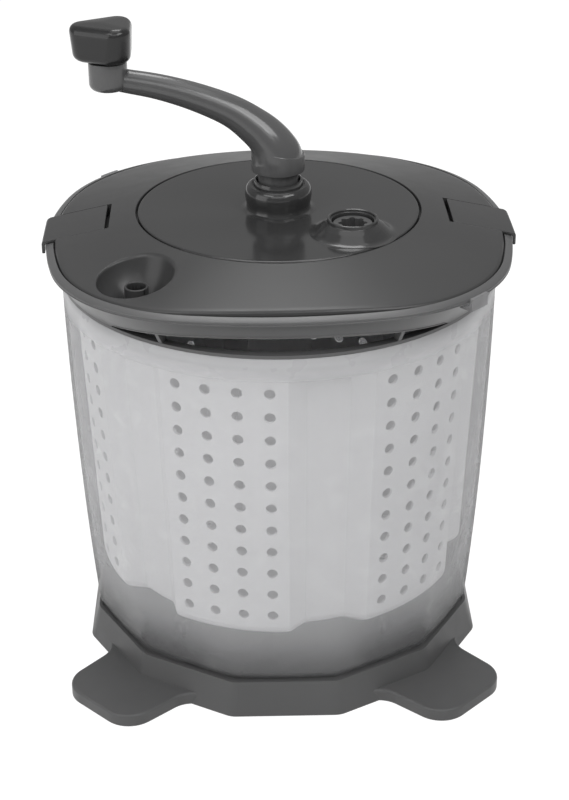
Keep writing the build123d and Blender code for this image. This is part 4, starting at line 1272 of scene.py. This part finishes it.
# %% [markdown]
# ## The straps
#
# Each strap is a thin plate that follows the lid's cone, bends down over the rim and hinges on a
# pin in its slot. Its cross-section is drawn once and repeated along the strap's width. Towards both
# ends the section draws in along a quarter circle, which rounds every long edge.

# %% Strap section and straps
STRAP_END_X, KNUCKLE_R, PIN_HOLE = 127.8, 2.8, 1.56
HOOK_X, HOOK_THICK, HOOK_LOW_Z, STRAP_BEND = 171.9, 2.2, 325.0, 2.6


def strap_section(y, edge, corner):
    """Closed (x, z) section; edge draws in the faces, corner draws in the far end."""
    far = HOOK_X + HOOK_THICK - max(edge, corner)
    near = STRAP_END_X + edge
    line = [(near, cone(near, y, 0.4))]
    line += [(x, cone(x, y, edge)) for x in (near + 0.5, 131, 135, 140, 145, 150, 155, 160, 165, 168)]
    top = cone(far, y, edge)
    bend = [(169, cone(169, y, edge)), (far, top), (far, HOOK_LOW_Z + 3)]
    line += rounded(bend, (0, STRAP_BEND, 0), 7)[1:]
    line += rounded([(far, HOOK_LOW_Z + 3), (far, HOOK_LOW_Z + edge), (HOOK_X + edge, HOOK_LOW_Z + edge),
                     (HOOK_X + edge, HOOK_LOW_Z + 3)], (0, 0.6, 0.5, 0), 3)[1:]
    under = STRAP_THICK - edge
    line += [(HOOK_X + min(edge, 0.3), cone(HOOK_X, y, under + 1)), (HOOK_X - 1.0, cone(HOOK_X, y, under))]
    line += [(x, cone(x, y, under)) for x in (165, 160, 155, 150, 145, 140, 135)]
    r = KNUCKLE_R - edge
    turns = [radians(20 - 22 * k) for k in range(11)]
    line += [(STRAP_PIN_X + r * cos(t), STRAP_PIN_Z + r * sin(t)) for t in turns]
    line.append((STRAP_END_X + edge, STRAP_PIN_Z + 0.6))
    return line


def strap(name, side):
    """Sections along the strap's width, close together where its long edges round off."""
    half, soft, corner = STRAP_WIDTH / 2, 0.5, 3.0
    edge_steps = [-half + step for step in (0, 0.07, 0.25, 0.5, 1.0, 1.8, 3.0)]
    places = edge_steps + [-half + 3 + 6 * k for k in range(1, 7)] + [-p for p in reversed(edge_steps)]
    rings = []
    for y in places:
        into = max(abs(y) - (half - soft), 0)
        edge = soft - sqrt(max(soft ** 2 - into ** 2, 0))
        round_in = max(y - (half - corner), 0)
        draw = corner - sqrt(max(corner ** 2 - round_in ** 2, 0))
        place_y = STRAP_Y + y
        rings.append([(side * x, place_y, z) for x, z in strap_section(place_y, edge, draw)])
    pin = [(0, -30), (PIN_HOLE, -30), (PIN_HOLE, 30), (0, 30)]
    hole = make_mesh("pin_hole", *skin(lathe(pin, steps=24), round_trip=False))
    hole.data.transform(Matrix.Translation((side * STRAP_PIN_X * MM, STRAP_Y * MM, STRAP_PIN_Z * MM)) @
                        Matrix.Rotation(pi / 2, 4, "X"))
    return carve(closed(name, rings, sharp=50), [hole], sharp=40)


settle(strap("strap_left", -1), LID, "latch_left", "lid_plastic", "latch_left")
settle(strap("strap_right", 1), LID, "latch_right", "lid_plastic", "latch_right")

# %% [markdown]
# ## The view transform
#
# The scene uses the plain Standard view transform.

# %% Set the view transform
bpy.context.scene.view_settings.view_transform = "Standard"
